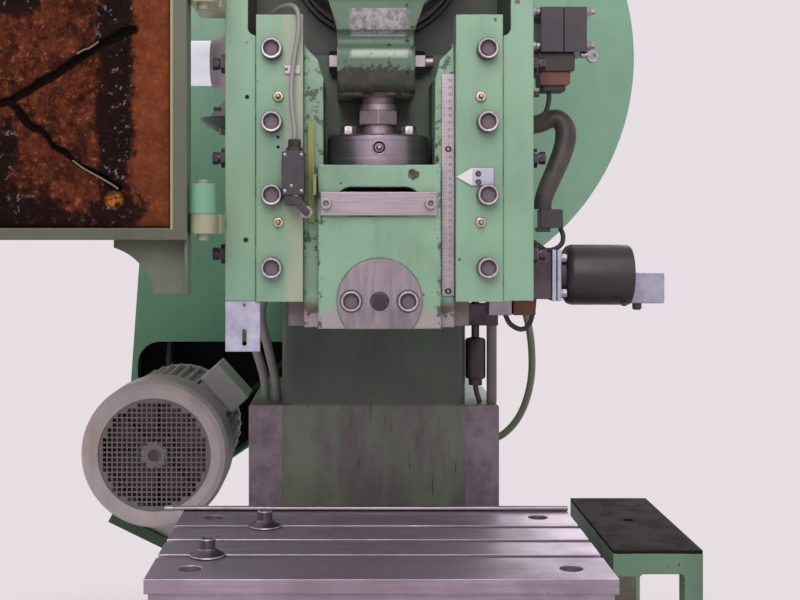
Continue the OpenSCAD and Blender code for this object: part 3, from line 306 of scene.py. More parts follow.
def edge_wear_group():
    """Rounds the edges' shading and marks the patches where an edge is rubbed."""
    inputs = {"Width": 0.002, "Patch scale": 30.0, "Amount": 0.5}
    graph, given, result = new_group("edge_wear", inputs, {"Mask": float, "Normal": tuple})
    rounded = graph.node("ShaderNodeBevel", {"Radius": given["Width"]}, samples=6).outputs[0]
    flat = graph.node("ShaderNodeNewGeometry").outputs["Normal"]
    bent = graph.minus(1.0, graph.vector("DOT_PRODUCT", rounded, flat))
    patch = graph.span(graph.grain(given["Patch scale"], 5.0, 0.65), 0.35, 0.70)
    reach = graph.times(patch, given["Amount"])
    limit = graph.minus(0.24, graph.times(reach, 0.24))
    graph.put(result["Mask"], graph.span(graph.minus(bent, limit), 0.0, 0.05))
    graph.put(result["Normal"], rounded)


def crevice_group():
    """Marks the inner corners where dirt gathers."""
    graph, given, result = new_group("crevice_dirt", {"Reach": 0.02, "Amount": 0.6}, {"Mask": float})
    nearby = graph.node("ShaderNodeAmbientOcclusion", {"Distance": given["Reach"]}, samples=5).outputs
    closed = graph.span(graph.minus(1.0, nearby["AO"]), 0.25, 0.95)
    speckle = graph.clouds(140.0, 4.0, 0.25, 0.7, to=(0.55, 1.0))
    shade = graph.times(closed, speckle)
    graph.put(result["Mask"], graph.math("MULTIPLY", shade, given["Amount"], clamp=True))


def grime_group():
    """Soft stains with runs down the surface."""
    inputs = {"Scale": 9.0, "Amount": 0.4, "Seed": 0.0}
    graph, given, result = new_group("oily_grime", inputs, {"Mask": float})
    shift = graph.node("ShaderNodeCombineXYZ", {axis: given["Seed"] for axis in range(3)}).outputs[0]
    spread = graph.vector("ADD", graph.place(), shift)
    runs = graph.vector("MULTIPLY", spread, (1, 1, 0.16))
    cloud = graph.noise(spread, given["Scale"], 6.0, 0.62)
    streak = graph.noise(runs, graph.times(given["Scale"], 5.0), 4.0, 0.6)
    both = graph.plus(graph.times(cloud, 0.62), graph.times(streak, 0.38))
    mask = graph.span(both, 0.46, 0.68)
    graph.put(result["Mask"], graph.math("MULTIPLY", mask, given["Amount"], clamp=True))


def chips_group():
    """Small scattered chips of uneven size."""
    graph, given, result = new_group("paint_chips", {"Scale": 60.0, "Amount": 0.3}, {"Mask": float})
    place = graph.place()
    lumps = graph.node("ShaderNodeTexNoise", {"Vector": place, "Scale": 220.0, "Detail": 2.0})
    wobble = graph.vector("MULTIPLY", lumps.outputs["Color"], (0.006, 0.006, 0.006))
    place = graph.vector("ADD", place, wobble)
    cells = graph.node("ShaderNodeTexVoronoi", {"Vector": place, "Scale": given["Scale"]}).outputs
    chance = graph.node("ShaderNodeSeparateColor", {0: cells["Color"]}).outputs[0]
    area = graph.clouds(7.0, 3.0, 0.45, 0.75)
    size = graph.times(graph.span(chance, 0.72, 1.0), graph.plus(area, 0.25), given["Amount"])
    graph.put(result["Mask"], graph.span(graph.minus(size, cells["Distance"]), 0.0, 0.04))


def brushed_group():
    """Fine lines left by grinding or milling; the stretch sets their direction."""
    inputs = {"Stretch": (20.0, 400.0, 400.0), "Blotch": 14.0}
    graph, given, result = new_group("brushed_lines", inputs, {"Lines": float, "Stain": float})
    along = graph.vector("MULTIPLY", graph.place(), given["Stretch"])
    graph.put(result["Lines"], graph.noise(along, 1.0, 4.0, 0.6))
    graph.put(result["Stain"], graph.grain(given["Blotch"], 5.0, 0.62))


# Finishes

FINISHES = {}


def new_finish(name, **constants):
    """A material with a bare Principled shader; constants sit on its own sockets."""
    finish = bpy.data.materials.new(name)
    finish.use_nodes = True
    graph = Graph(finish.node_tree)
    graph.shader = graph.node("ShaderNodeBsdfPrincipled")
    graph.node("ShaderNodeOutputMaterial", {"Surface": graph.shader.outputs[0]})
    for socket, value in constants.items():
        graph.shader.inputs[socket.replace("_", " ").title().replace("Ior", "IOR")].default_value = value
    FINISHES[name] = finish
    return graph


def rgb(red, green, blue):
    """A colour given as it is seen, from 0 to 255, made linear."""

    def linear(v):
        v = v / 255
        return v / 12.92 if v <= 0.04045 else ((v + 0.055) / 1.055) ** 2.4

    return (linear(red), linear(green), linear(blue), 1)


def tone(colour, factor):
    return (colour[0] * factor, colour[1] * factor, colour[2] * factor, 1)


PALE_GREEN = rgb(135, 174, 147)
GUARD_GREEN = rgb(143, 188, 161)
DARK_GREEN = rgb(50, 84, 60)
DOOR_GREEN = rgb(92, 96, 80)
LUG_CREAM = rgb(168, 172, 144)
PRIMER = rgb(52, 46, 42)
BARE_STEEL = rgb(112, 102, 104)
OIL_BROWN = rgb(58, 52, 38)
BLACK_OIL = rgb(12, 9, 8)


def enamel_layers(
    graph, colour, wear=0.45, grime=0.35, chips=0.35, seed=0.0, edge=0.002, under=PRIMER, spread=60.0
):
    """Shop enamel with stains, dirt in the corners, chips and rubbed edges: colour, roughness and normal."""
    paint = graph.mix(graph.clouds(3.5, 4.0, 0.3, 0.7), tone(colour, 0.90), tone(colour, 1.08))
    yellowed = graph.clouds(11.0, 5.0, 0.45, 0.8, 0.6, (1, 1, 0.5))
    tint = (min(1.0, colour[0] * 1.25), colour[1] * 0.98, colour[2] * 0.72, 1)
    paint = graph.over(paint, tint, yellowed, 0.45)
    stain = graph.group("oily_grime", scale=8.0, amount=grime, seed=seed)["Mask"]
    corner = graph.group("crevice_dirt", reach=0.012, amount=0.8)["Mask"]
    chip = graph.group("paint_chips", scale=spread, amount=chips)["Mask"]
    rub = graph.group("edge_wear", width=edge, patch_scale=34.0, amount=wear)
    paint = graph.mix(stain, paint, graph.mix(0.65, paint, OIL_BROWN))
    paint = graph.mix(corner, paint, tone(OIL_BROWN, 0.6))
    gone = graph.most(chip, rub["Mask"])
    bare = graph.mix(graph.clouds(90.0, 3.0, 0.4, 0.7), under, tone(BARE_STEEL, 0.8))
    pale = graph.clouds(40.0, 4.0, 0.42, 0.58)
    edge_bare = graph.mix(pale, bare, graph.mix(0.55, colour, rgb(236, 236, 228)))
    paint = graph.mix(chip, paint, bare)
    paint = graph.mix(rub["Mask"], paint, edge_bare)
    peel = graph.times(graph.grain(420.0, 2.0), 0.35)
    brush = graph.times(graph.grain(60.0, 3.0, stretch=(1, 1, 0.25)), 0.5)
    height = graph.minus(graph.plus(peel, brush), graph.times(gone, 0.9))
    normal = graph.bump(height, 0.0002, rub["Normal"])
    rough = graph.plus(0.30, graph.times(graph.grain(26.0, 3.0), 0.16))
    return paint, graph.plus(rough, graph.times(gone, 0.25)), normal


def enamel(name, colour, **settings):
    graph = new_finish(name)
    graph.coat(*enamel_layers(graph, colour, **settings))


def metal(name, colour, stretch, rough, stain, rust=0.0, edge_light=0.5, shine=0.92):
    """Machined steel: brushed lines, dark oil blotches, light rubbed edges and a little rust."""
    graph = new_finish(name, metallic=shine)
    marks = graph.group("brushed_lines", stretch=stretch, blotch=16.0)
    shade = graph.span(marks["Lines"], 0.25, 0.75, 0.84, 1.12)
    lines = graph.node("ShaderNodeCombineColor", {0: shade, 1: shade, 2: shade}).outputs[0]
    base = graph.mix(1.0, colour, lines, "MULTIPLY")
    dark = graph.span(marks["Stain"], 0.42, 0.72, 0.0, stain)
    base = graph.mix(dark, base, tone(colour, 0.30))
    warm = graph.clouds(37.0, 5.0, 0.62 - 0.2 * rust, 0.85 - 0.2 * rust, 0.65, to=(0.0, rust))
    base = graph.mix(warm, base, rgb(116, 70, 44))
    corner = graph.group("crevice_dirt", reach=0.008, amount=0.85)["Mask"]
    base = graph.mix(corner, base, tone(OIL_BROWN, 0.4))
    rub = graph.group("edge_wear", width=0.0012, patch_scale=60.0, amount=1.0)
    base = graph.over(base, (0.80, 0.77, 0.82, 1), rub["Mask"], edge_light)
    value = graph.span(marks["Lines"], 0.2, 0.8, rough - 0.07, rough + 0.09)
    value = graph.plus(value, graph.times(dark, 0.18))
    value = graph.plus(value, graph.times(corner, 0.25))
    graph.coat(base, value, graph.bump(marks["Lines"], 0.00006, rub["Normal"]))


def moulded(name, colour, rough=0.42, grain=500.0, dust=0.25, gloss=0.5):
    """Moulded plastic or rubber with a fine grain, dust in the corners and greyed edges."""
    graph = new_finish(name, specular_ior_level=gloss)
    patch = graph.clouds(22.0, 5.0, 0.35, 0.75, 0.6)
    base = graph.over(colour, rgb(120, 112, 100), patch, dust)
    rub = graph.group("edge_wear", width=0.001, patch_scale=80.0, amount=1.0)
    base = graph.over(base, rgb(130, 126, 124), rub["Mask"], 0.35)
    value = graph.span(patch, 0.0, 1.0, rough, rough + 0.18)
    graph.coat(base, value, graph.bump(graph.grain(grain, 2.0), 0.00008, rub["Normal"]))


def frame_finish():
    """The casting: enamel on the head, painted shade in the chamber and behind the ram, oil and painted shade
    on the neck, bare iron on the lower block.
    """
    graph = new_finish("casting_enamel")
    paint, rough, normal = enamel_layers(
        graph, PALE_GREEN, wear=0.6, grime=0.26, chips=0.30, edge=0.0028, under=rgb(118, 100, 94)
    )
    film = graph.grain(7.0, 7.0, 0.66, (1, 1, 0.6))
    # Painted shade in the crank chamber and on the guideway wall behind the ram, mottled by the film.
    chamber = graph.times(
        graph.step("z", HEAD_Z + 366, HEAD_Z + 371),
        graph.step("s", -88, -80),
        graph.step("across", FRAME_HALF - 28, FRAME_HALF - 33),
    )
    guideway = graph.times(
        graph.step("s", 60, 70),
        graph.step("across", 142, 139),
        graph.step("z", HEAD_Z, HEAD_Z + 4),
    )
    inside = graph.times(
        graph.most(chamber, graph.times(guideway, 0.66)),
        graph.step("z", FRAME.z1 - 10, FRAME.z1 - 14),
        graph.step("s", FRAME.s1 - 12, FRAME.s1 - 16),
    )
    painted_chamber_shade = graph.mix(graph.span(film, 0.35, 0.62), rgb(54, 60, 50), rgb(26, 28, 24))
    paint = graph.over(paint, painted_chamber_shade, inside, 0.93)
    # Oil stains and painted shade on the neck below the head, greyer lower down.
    neck = graph.times(
        graph.step("z", HEAD_Z + 2, HEAD_Z - 6),
        graph.step("s", 200, 240),
        graph.step("s", 430, 350),
        graph.step("z", BOLSTER.z0 - 60, BOLSTER.z0 - 20),
    )
    oil_and_shade = graph.mix(graph.span(film, 0.32, 0.62), rgb(57, 75, 58), rgb(33, 37, 31))
    oil_and_shade = graph.over(oil_and_shade, rgb(106, 96, 98), graph.clouds(5.0, 6.0, 0.52, 0.68, 0.6, (1, 1, 0.8)), 0.55)
    oil_and_shade = graph.over(oil_and_shade, rgb(92, 88, 82), graph.step("z", BOLSTER.z1 + 320, BOLSTER.z1 + 190), 0.45)
    paint = graph.over(paint, oil_and_shade, neck, 0.92)
    worn = graph.clouds(13.0, 7.0, 0.36, 0.62, 0.68, (1, 1, 0.35))
    block = graph.mix(worn, rgb(120, 132, 114), rgb(108, 97, 100))
    bare_side = graph.step("across", 158, 162)
    iron = graph.mix(graph.clouds(26.0, 7.0, 0.3, 0.7, 0.68), rgb(154, 139, 150), rgb(114, 102, 110))
    block = graph.mix(bare_side, block, iron)
    lines = graph.clouds(210.0, 2.0, 0.62, 0.68, 0.4, (1, 1, 0.045))
    area = graph.clouds(15.0, 3.0, 0.42, 0.60, stretch=(1, 1, 0.8))
    block = graph.over(block, rgb(44, 42, 38), graph.times(lines, area, graph.minus(1.0, bare_side)), 0.8)
    top_edge = graph.group("edge_wear", width=0.004, patch_scale=25.0, amount=1.0)["Mask"]
    block = graph.over(block, rgb(158, 146, 150), top_edge, 0.6)
    paint = graph.over(paint, block, neck, graph.step("z", BLOCK_TOP + 3, BLOCK_TOP - 4))
    slick = graph.times(neck, graph.span(film, 0.3, 0.7, -0.02, 0.12))
    graph.coat(paint, graph.plus(rough, slick), normal)


def gib_finish():
    """The gib plates: enamel that oily hands and rags have greyed along the left plate's inner edge."""
    graph = new_finish("gib_enamel")
    paint, rough, normal = enamel_layers(
        graph, PALE_GREEN, wear=0.5, grime=0.26, chips=0.22, under=rgb(96, 84, 78)
    )
    cloud = graph.grain(22.0, 5.0, 0.6, (1, 1, 0.35))
    inner = graph.step("x", -GIB.x0 - 44, -GIB.x0 - 12, -0.25, 0.20)
    inner = graph.times(graph.span(graph.plus(cloud, inner), 0.44, 0.66), graph.step("x", 10, -10))
    graph.coat(graph.over(paint, rgb(176, 168, 150), inner, 0.55), rough, normal)


def ram_finish():
    """The ram: enamel with heavy chips along its front edges, bare wings that run in the gibs, and painted
    shade in the pocket behind the rod.
    """
    graph = new_finish("ram_enamel")
    paint, rough, normal = enamel_layers(graph, PALE_GREEN, wear=0.85, grime=0.40, chips=0.5, edge=0.004)
    foot = RAM.z0
    wing = graph.times(graph.step("across", 86.5, 87.5), graph.step("z", foot + 46, foot + 26))
    iron = graph.mix(graph.clouds(30.0, 6.0, 0.35, 0.65, 0.65), rgb(104, 92, 82), rgb(70, 60, 54))
    paint = graph.mix(wing, paint, iron)
    fray = graph.grain(48.0, 7.0, 0.74)
    bare_foot = graph.span(graph.plus(fray, graph.step("z", foot + 44, foot + 6, -0.12, 0.16)), 0.54, 0.58)
    bare_foot = graph.times(bare_foot, graph.step("z", foot + 46, foot + 40))
    paint = graph.over(paint, rgb(166, 152, 154), bare_foot, 0.85)
    side_chips = graph.span(graph.plus(fray, graph.step("across", 66, 84, -0.14, 0.06)), 0.60, 0.64)
    paint = graph.over(paint, rgb(50, 58, 46), side_chips, 0.85)
    # Painted shade in the pocket behind the rod, near black in the middle.
    pocket = graph.times(graph.step("s", -12, 0), graph.step("z", foot + 225, foot + 245))
    dim = graph.mix(graph.step("across", 40, 62), rgb(20, 24, 18), rgb(78, 92, 74))
    paint = graph.over(paint, dim, pocket, 0.92)
    paint = graph.over(paint, rgb(120, 112, 108), graph.step("across", 107, 108.5), 0.9)
    graph.coat(paint, rough, normal)


def rod_finish():
    """The connecting rod: a band rubbed bright above the hollow, painted highlights on the hump and on the
    hollow's upper lip, black oil low down.
    """
    graph = new_finish("rod_enamel", specular_ior_level=0.28)
    # The rod's enamel is set darker than the casting's, partly as painted shade under the head.
    paint, rough, normal = enamel_layers(
        graph, tone(PALE_GREEN, 0.44), wear=0.8, grime=0.5, chips=0.8, edge=0.005, spread=110.0
    )
    foot = RAM.z0

    def belt(low, high, soft=2.0):
        rise = graph.step("z", foot + low, foot + low + soft)
        return graph.times(rise, graph.step("z", foot + high, foot + high - soft))

    mottle = graph.grain(60.0, 7.0, 0.75)
    rubbed = graph.span(mottle, 0.40, 0.58)
    ragged = graph.times(graph.minus(mottle, 0.5), 0.04)
    middle = graph.span(graph.plus(graph.along("across"), ragged), 0.046, 0.038)
    band = graph.times(belt(424, 462), middle, graph.span(mottle, 0.32, 0.42, 0.5, 1.0))
    paint = graph.mix(band, paint, graph.mix(rubbed, rgb(112, 108, 108), rgb(166, 160, 165)))
    # Painted highlight along the top of the hump.
    gloss = graph.times(belt(384, 402, 7.0), middle, graph.span(mottle, 0.36, 0.46))
    paint = graph.over(paint, rgb(206, 216, 206), gloss, 0.62)
    # Painted highlight along the hollow's upper lip.
    paint = graph.over(paint, rgb(190, 196, 188), graph.times(belt(421, 425, 1.0), middle), 0.55)
    speckle = graph.grain(95.0, 7.0, 0.74, (1, 1, 0.8))
    smear = graph.span(graph.plus(speckle, graph.step("z", foot + 390, foot + 350, -0.07, 0.34)), 0.54, 0.62)
    smear = graph.times(smear, graph.step("z", foot + 390, foot + 380))
    oil = graph.mix(graph.span(mottle, 0.45, 0.6), rgb(22, 26, 19), rgb(56, 42, 34))
    paint = graph.over(paint, oil, smear, 0.92)
    paint = graph.over(paint, rgb(146, 136, 118), graph.times(belt(329, 338, 1.5), rubbed), 0.75)
    paint = graph.over(paint, rgb(48, 78, 54), graph.step("z", foot + 466, foot + 478), 0.8)
    graph.coat(paint, graph.minus(rough, 0.06), normal)


def bolster_finish():
    """Ground steel plate: fine crosswise lines, soft oil clouds, rusty specks and slot edges rubbed bright,
    partly a painted highlight.
    """
    graph = new_finish("bolster_steel", metallic=0.72)
    marks = graph.group("brushed_lines", stretch=(7.0, 420.0, 420.0), blotch=5.0)
    base = graph.mix(graph.span(marks["Lines"], 0.3, 0.7), rgb(160, 145, 162), rgb(184, 169, 186))
    base = graph.mix(graph.span(marks["Stain"], 0.40, 0.70, 0.0, 0.55), base, rgb(116, 104, 112))
    brown = graph.clouds(9.0, 6.0, 0.52, 0.70, 0.6, (0.5, 1, 1), (0.0, 0.35))
    base = graph.mix(brown, base, rgb(112, 96, 84))
    rub = graph.group("edge_wear", width=0.0022, patch_scale=9.0, amount=0.97)
    base = graph.over(base, rgb(66, 54, 50), graph.group("paint_chips", scale=80.0, amount=0.28)["Mask"], 0.7)
    # Rubbed edges, lightened close to white as wear and as a painted highlight.
    base = graph.over(base, rgb(232, 224, 242), rub["Mask"], 0.9)
    base = graph.mix(graph.group("crevice_dirt", reach=0.012, amount=1.0)["Mask"], base, rgb(30, 27, 26))
    value = graph.span(marks["Stain"], 0.35, 0.7, 0.34, 0.50)
    graph.coat(base, value, graph.bump(marks["Lines"], 0.00003, rub["Normal"]))


def foam_finish():
    """Oil-soaked foam: orange-brown cells, black tar with wet highlights, two grooves, one clean spot."""
    graph = new_finish("soaked_foam")
    fine = graph.grain(42.0, 8.0, 0.74)
    cell = graph.grain(130.0, 6.0, 0.72)
    tones = graph.plus(graph.times(fine, 0.75), graph.times(graph.grain(9.0, 5.0, 0.6), 0.40))
    base = graph.mix(graph.span(tones, 0.46, 0.68), rgb(44, 21, 15), rgb(98, 49, 32))
    base = graph.mix(graph.span(cell, 0.54, 0.68, 0.0, 0.6), base, rgb(168, 98, 60))
    base = graph.mix(graph.span(cell, 0.48, 0.34, 0.0, 0.8), base, rgb(26, 12, 9))
    soak = graph.node("ShaderNodeAttribute", attribute_name="soak").outputs["Fac"]
    gap = graph.node("ShaderNodeAttribute", attribute_name="gap").outputs["Fac"]
    ragged = graph.minus(graph.grain(34.0, 8.0, 0.78), 0.5)
    tar = graph.span(graph.plus(soak, graph.times(ragged, 2.6)), 0.36, 0.74)
    orange = graph.mix(fine, rgb(104, 42, 24), rgb(160, 92, 58))
    base = graph.mix(graph.step("x", -340, -325, 0.0, 0.5), base, orange)
    base = graph.over(base, rgb(24, 15, 14), tar, 0.93)
    reach = 15 * MM
    clean = graph.times(graph.span(graph.away(-356, 1352), reach, 0.35 * reach), graph.span(fine, 0.40, 0.56))
    base = graph.over(base, rgb(196, 112, 48), clean, 0.9)
    line = graph.span(graph.plus(gap, graph.times(ragged, 0.10)), 0.24, 0.13)
    base = graph.over(base, BLACK_OIL, line, 0.96)
    wet = graph.times(tar, graph.clouds(110.0, 5.0, 0.60, 0.64, 0.7), graph.minus(1.0, line))
    pits = graph.plus(fine, graph.times(cell, 0.8))
    graph.coat(base, graph.span(wet, 0.0, 1.0, 0.8, 0.16), graph.bump(pits, 0.0016))
    graph.put(graph.shader.inputs["Specular IOR Level"], graph.span(wet, 0.0, 1.0, 0.05, 0.9))


def guard_finish():
    """The big guard: clean to the right, darker low on the left with oil mist and painted shade, and painted
    black shade inside.
    """
    graph = new_finish("guard_enamel", specular_ior_level=0.4)
    paint, rough, normal = enamel_layers(graph, GUARD_GREEN, wear=0.3, grime=0.18, chips=0.08, seed=9.0)
    # Oil mist and painted shade, darkening the paint low on the left.
    mist_and_shade = graph.mix(1.0, paint, rgb(212, 232, 222), "MULTIPLY")
    paint = graph.over(paint, mist_and_shade, graph.step("x", 100, -160), graph.step("z", 1660, 1360, 0.35, 1.0))
    # Painted black shade on the inner faces behind the guard's front sheet.
    sides = graph.node("ShaderNodeNewGeometry").outputs
    facing = graph.node("ShaderNodeSeparateXYZ", {0: sides["True Normal"]}).outputs[1]
    inner = graph.most(sides["Backfacing"], graph.span(facing, -0.4, -0.6))
    dark = graph.times(inner, graph.step("s", GUARD_FRONT + 6, GUARD_FRONT + 10))
    graph.coat(graph.mix(dark, paint, rgb(16, 18, 16)), graph.plus(rough, graph.times(dark, 0.4)), normal)


def door_finish():
    """The door: dull olive enamel, paler at its inner edge, with fresh green hinge barrels."""
    graph = new_finish("door_enamel", specular_ior_level=0.4)
    paint, rough, normal = enamel_layers(
        graph, DOOR_GREEN, wear=0.6, grime=0.5, chips=0.3, seed=2.0, under=rgb(84, 78, 66)
    )
    shade = graph.mix(graph.clouds(14.0, 5.0, 0.35, 0.65), rgb(122, 132, 112), rgb(100, 100, 94))
    paint = graph.over(paint, shade, graph.step("z", DOOR.z0 + 74, DOOR.z0 + 62), 0.5)
    rim = graph.times(
        graph.step("x", LINING.x1 + 5, LINING.x1 + 2),
        graph.step("z", LINING.z0 - 4, LINING.z0),
        graph.step("x", LINING.x1, LINING.x1 + 0.5),
    )
    paint = graph.over(paint, rgb(182, 176, 136), rim, 0.7)
    paint = graph.mix(graph.step("x", DOOR.x1 - 38, DOOR.x1 - 35), paint, rgb(120, 168, 140))
    graph.coat(paint, graph.plus(rough, 0.08), normal)


def motor_finish():
    """The motor: pinkish grey paint, with painted light on the outer edges of the cooling fins."""
    graph = new_finish("motor_enamel", specular_ior_level=0.4)
    paint, rough, normal = enamel_layers(
        graph, rgb(204, 191, 194), wear=0.4, grime=0.35, chips=0.12, seed=3.0, under=rgb(76, 68, 64)
    )
    radius = graph.away(MOTOR_X, MOTOR_Z)
    wires = graph.times(graph.span(radius, 0.104, 0.1015), graph.span(radius, 0.020, 0.024))
    paint = graph.over(paint, rgb(96, 88, 90), wires, 0.8)
    # Painted light on the cooling fins beyond the cowl, from 118 mm out.
    painted_fin_light = graph.times(graph.span(radius, 0.118, 0.124), graph.step("s", COWL.s1, COWL.s1 + 4))
    graph.coat(graph.over(paint, rgb(224, 218, 218), painted_fin_light, 0.85), graph.plus(rough, 0.06), normal)


def console_finish():
    """The console's casting: dull enamel, with a bare brown left leg."""
    graph = new_finish("console_enamel", specular_ior_level=0.4)
    paint, rough, normal = enamel_layers(graph, rgb(108, 142, 118), wear=0.6, grime=0.5, chips=0.4, seed=5.0)
    leg = graph.step("x", CONSOLE.x1 - 94, CONSOLE.x1 - 96)
    leg = graph.times(leg, graph.step("z", CONSOLE.z1 - 30, CONSOLE.z1 - 34))
    brown = graph.mix(graph.clouds(24.0, 6.0, 0.35, 0.65), rgb(112, 92, 78), rgb(74, 66, 54))
    graph.coat(graph.over(paint, brown, leg, 0.85), graph.plus(rough, 0.1), normal)


def glowing_glass_finish():
    """White reservoir glass with a painted glow: its emission makes it brighter than the lamps light it."""
    graph = new_finish("glowing_milky_glass", roughness=0.25, emission_strength=0.6)
    streak = graph.clouds(12.0, 3.0, 0.3, 0.7, stretch=(1, 1, 3))
    base = graph.mix(streak, rgb(236, 234, 246), rgb(222, 218, 234))
    graph.put(graph.shader.inputs["Base Color"], base)
    graph.put(graph.shader.inputs["Emission Color"], base)


def build_finishes():
    """The finishes of the seen pieces, and those of metals, enamels and mouldings."""
    gib_finish()
    frame_finish()
    ram_finish()
    rod_finish()
    guard_finish()
    door_finish()
    motor_finish()
    console_finish()
    bolster_finish()
    foam_finish()
    glowing_glass_finish()
    enamel("dark_enamel", DARK_GREEN, wear=0.4, grime=0.5, chips=0.3, seed=4.0)
    enamel("cream_enamel", LUG_CREAM, wear=0.5, grime=0.5, chips=0.3, seed=6.0)
    enamel("cam_enamel", rgb(140, 150, 84), wear=0.6, grime=0.6, chips=0.6, seed=7.0)
    enamel("dish_enamel", rgb(62, 88, 78), wear=0.3, grime=0.4, chips=0.2)
    # Colour, stretch of the lines, roughness, stain, rust, light on the edges and metallic share
    metals = {
        "black_oxide": ((78, 68, 74), (200, 200, 200), 0.38, 0.5, 0.0, 0.75),
        "dark_steel": ((104, 92, 100), (30, 400, 400), 0.38, 0.55, 0.0, 0.7),
        "bright_steel": ((158, 149, 154), (30, 400, 400), 0.34, 0.25),
        "ground_steel": ((164, 150, 158), (30, 400, 400), 0.33, 0.40, 0.2),
        "nut_steel": ((176, 160, 164), (30, 400, 400), 0.42, 0.3, 0.15, 0.5, 0.55),
        "clamp_steel": ((146, 136, 142), (160, 400, 14), 0.38, 0.4, 0.2),
        "plate_steel": ((160, 150, 155), (14, 400, 500), 0.38, 0.15, 0.35),
        "retainer_steel": ((146, 134, 143), (8, 8, 260), 0.34, 0.45, 0.1, 0.6),
        "scale_steel": ((170, 160, 166), (300, 300, 20), 0.45, 0.15, 0.0, 0.2),
        "block_steel": ((92, 80, 88), (120, 120, 20), 0.45, 0.5, 0.2, 0.8),
        "zinc_plate": ((178, 178, 196), (60, 60, 60), 0.45, 0.2, 0.25),
        "brown_steel": ((112, 84, 70), (120, 120, 120), 0.5, 0.4, 0.4),
        "zinc_blue": ((160, 160, 178), (60, 60, 60), 0.42, 0.3, 0.15),
        "cast_iron": ((72, 68, 66), (150, 150, 150), 0.55, 0.5),
        "bearing_bronze": ((176, 128, 74), (30, 400, 400), 0.3, 0.4),
        "nipple_brass": ((212, 192, 160), (200, 200, 200), 0.3, 0.3),
        "worn_rim": ((176, 168, 172), (200, 200, 200), 0.36, 0.3),
    }
    for name, (colour, *look) in metals.items():
        metal(name, rgb(*colour), *look)
    moulded("oily_steel", rgb(28, 24, 26), rough=0.62, grain=300.0, dust=0.10, gloss=0.04)
    # Colour, roughness and dust
    mouldings = {
        "black_plastic": ((50, 45, 52), 0.36, 0.15),
        "black_rubber": ((40, 37, 34), 0.6, 0.4),
        "belt_rubber": ((30, 30, 30), 0.7, 0.3),
        "grey_sheath": ((152, 148, 146), 0.4, 0.25),
        "drain_sheath": ((132, 136, 118), 0.42, 0.3),
        "pipe_steel": ((128, 118, 122), 0.38, 0.3),
        "grey_plastic": ((204, 190, 198), 0.4, 0.2),
        "ink": ((52, 44, 48), 0.6, 0.1),
        "drum_enamel": ((38, 34, 38), 0.34, 0.08),
        "hose_rubber": ((52, 46, 45), 0.5, 0.5),
        "sensor_brown": ((52, 42, 40), 0.35, 0.3),
        "rust_coil": ((104, 48, 30), 0.5, 0.35),
        "white_paint": ((232, 228, 232), 0.4, 0.12),
        "socket_shade": ((104, 90, 99), 0.45, 0.25),
        "seam_string": ((116, 110, 96), 0.7, 0.4),
        "hub_enamel": ((132, 122, 124), 0.5, 0.4),
        "hub_shade": ((74, 66, 68), 0.6, 0.3),
    }
    for name, (colour, rough, dust) in mouldings.items():
        moulded(name, rgb(*colour), rough, dust=dust)


# Each finish with the solids that wear it
DRESS = {
    "casting_enamel": "frame",
    "gib_enamel": "gib_plate_left gib_plate_right",
    "black_oxide": "gib_screws gib_adjusters shank_clamp_screws shank_set_screw switch_lever",
    "bearing_bronze": "wear_strips shaft_bushes con_rod_bush ball_cup flywheel_bush",
    "nipple_brass": "grease_nipples",
    "bolster_steel": "bolster",
    "dark_steel": "bolster_screws t_bolts crankshaft knockout_bar motor_rotor",
    "bright_steel": "blow_off_tube clamp_bolt retainer_bolts cable_clip",
    "console_enamel": "feed_console",
    "oily_steel": "console_plate",
    "dark_enamel": "eccentric guard_brackets motor_plate",
    "rod_enamel": "con_rod",
    "nut_steel": "ball_screw",
    "retainer_steel": "ball_retainer",
    "ram_enamel": "ram",
    "plate_steel": "slot_plate",
    "clamp_steel": "shank_clamp",
    "scale_steel": "stroke_scale",
    "zinc_plate": "scale_pointer side_plate",
    "cam_enamel": "trip_cam",
    "black_plastic": "switch_body valve_block",
    "ground_steel": "switch_roller valve_studs",
    "grey_sheath": "switch_cable",
    "cast_iron": "flywheel clutch_brake silencer",
    "guard_enamel": "belt_guard",
    "belt_rubber": "v_belts",
    "motor_enamel": "motor_body motor_cowl terminal_box",
    "hose_rubber": "hose_elbow",
    "drum_enamel": "cam_switch",
    "block_steel": "cam_switch_mount",
    "door_enamel": "guard_door",
    "soaked_foam": "door_lining",
    "cream_enamel": "door_hinges",
    "glowing_milky_glass": "oil_reservoir",
    "pipe_steel": "conduits",
}

# Widths in mm of the rounding on the solids' edges
SOFT_EDGES = {
    0.4: "side_plate",
    0.6: "slot_plate",
    0.8: "gib_adjusters",
    0.9: "clamp_bolt ball_screw",
    1.0: "console_plate shank_clamp trip_cam cam_switch_mount guard_brackets knockout_bar",
    1.2: "bolster",
    1.5: "guard_door motor_plate door_hinges eccentric",
    1.6: "gib_plate_left gib_plate_right valve_block",
    1.8: "ram",
    2.0: "feed_console",
    2.5: "frame",
    3.0: "terminal_box",
    4.0: "con_rod",
}


def soften(thing, width):
    """Rounds a thing's edges by a width in mm."""
    edges = thing.modifiers.new("soft_edges", "BEVEL")
    edges.width = width * MM
    edges.segments = 2
    edges.limit_method = "ANGLE"
    edges.angle_limit = math.radians(32)
    thing.modifiers.new("even_shading", "WEIGHTED_NORMAL").keep_sharp = True


def dress_nodes():
    """Gives each solid its finish, and rounds the edges of the seen ones with modifiers."""
    for finish, names in DRESS.items():
        for name in names.split():
            materials = frame["nodes"][name].data.materials
            materials.clear()
            materials.append(FINISHES[finish])
    for width, names in SOFT_EDGES.items():
        for name in names.split():
            node = frame["nodes"][name]
            node.modifiers.new("join_faces", "WELD").merge_threshold = 0.00001
            flat = node.modifiers.new("flat_faces", "DECIMATE")
            flat.decimate_type = "DISSOLVE"
            flat.angle_limit = math.radians(0.8)
            soften(node, width)


# Detailed pieces

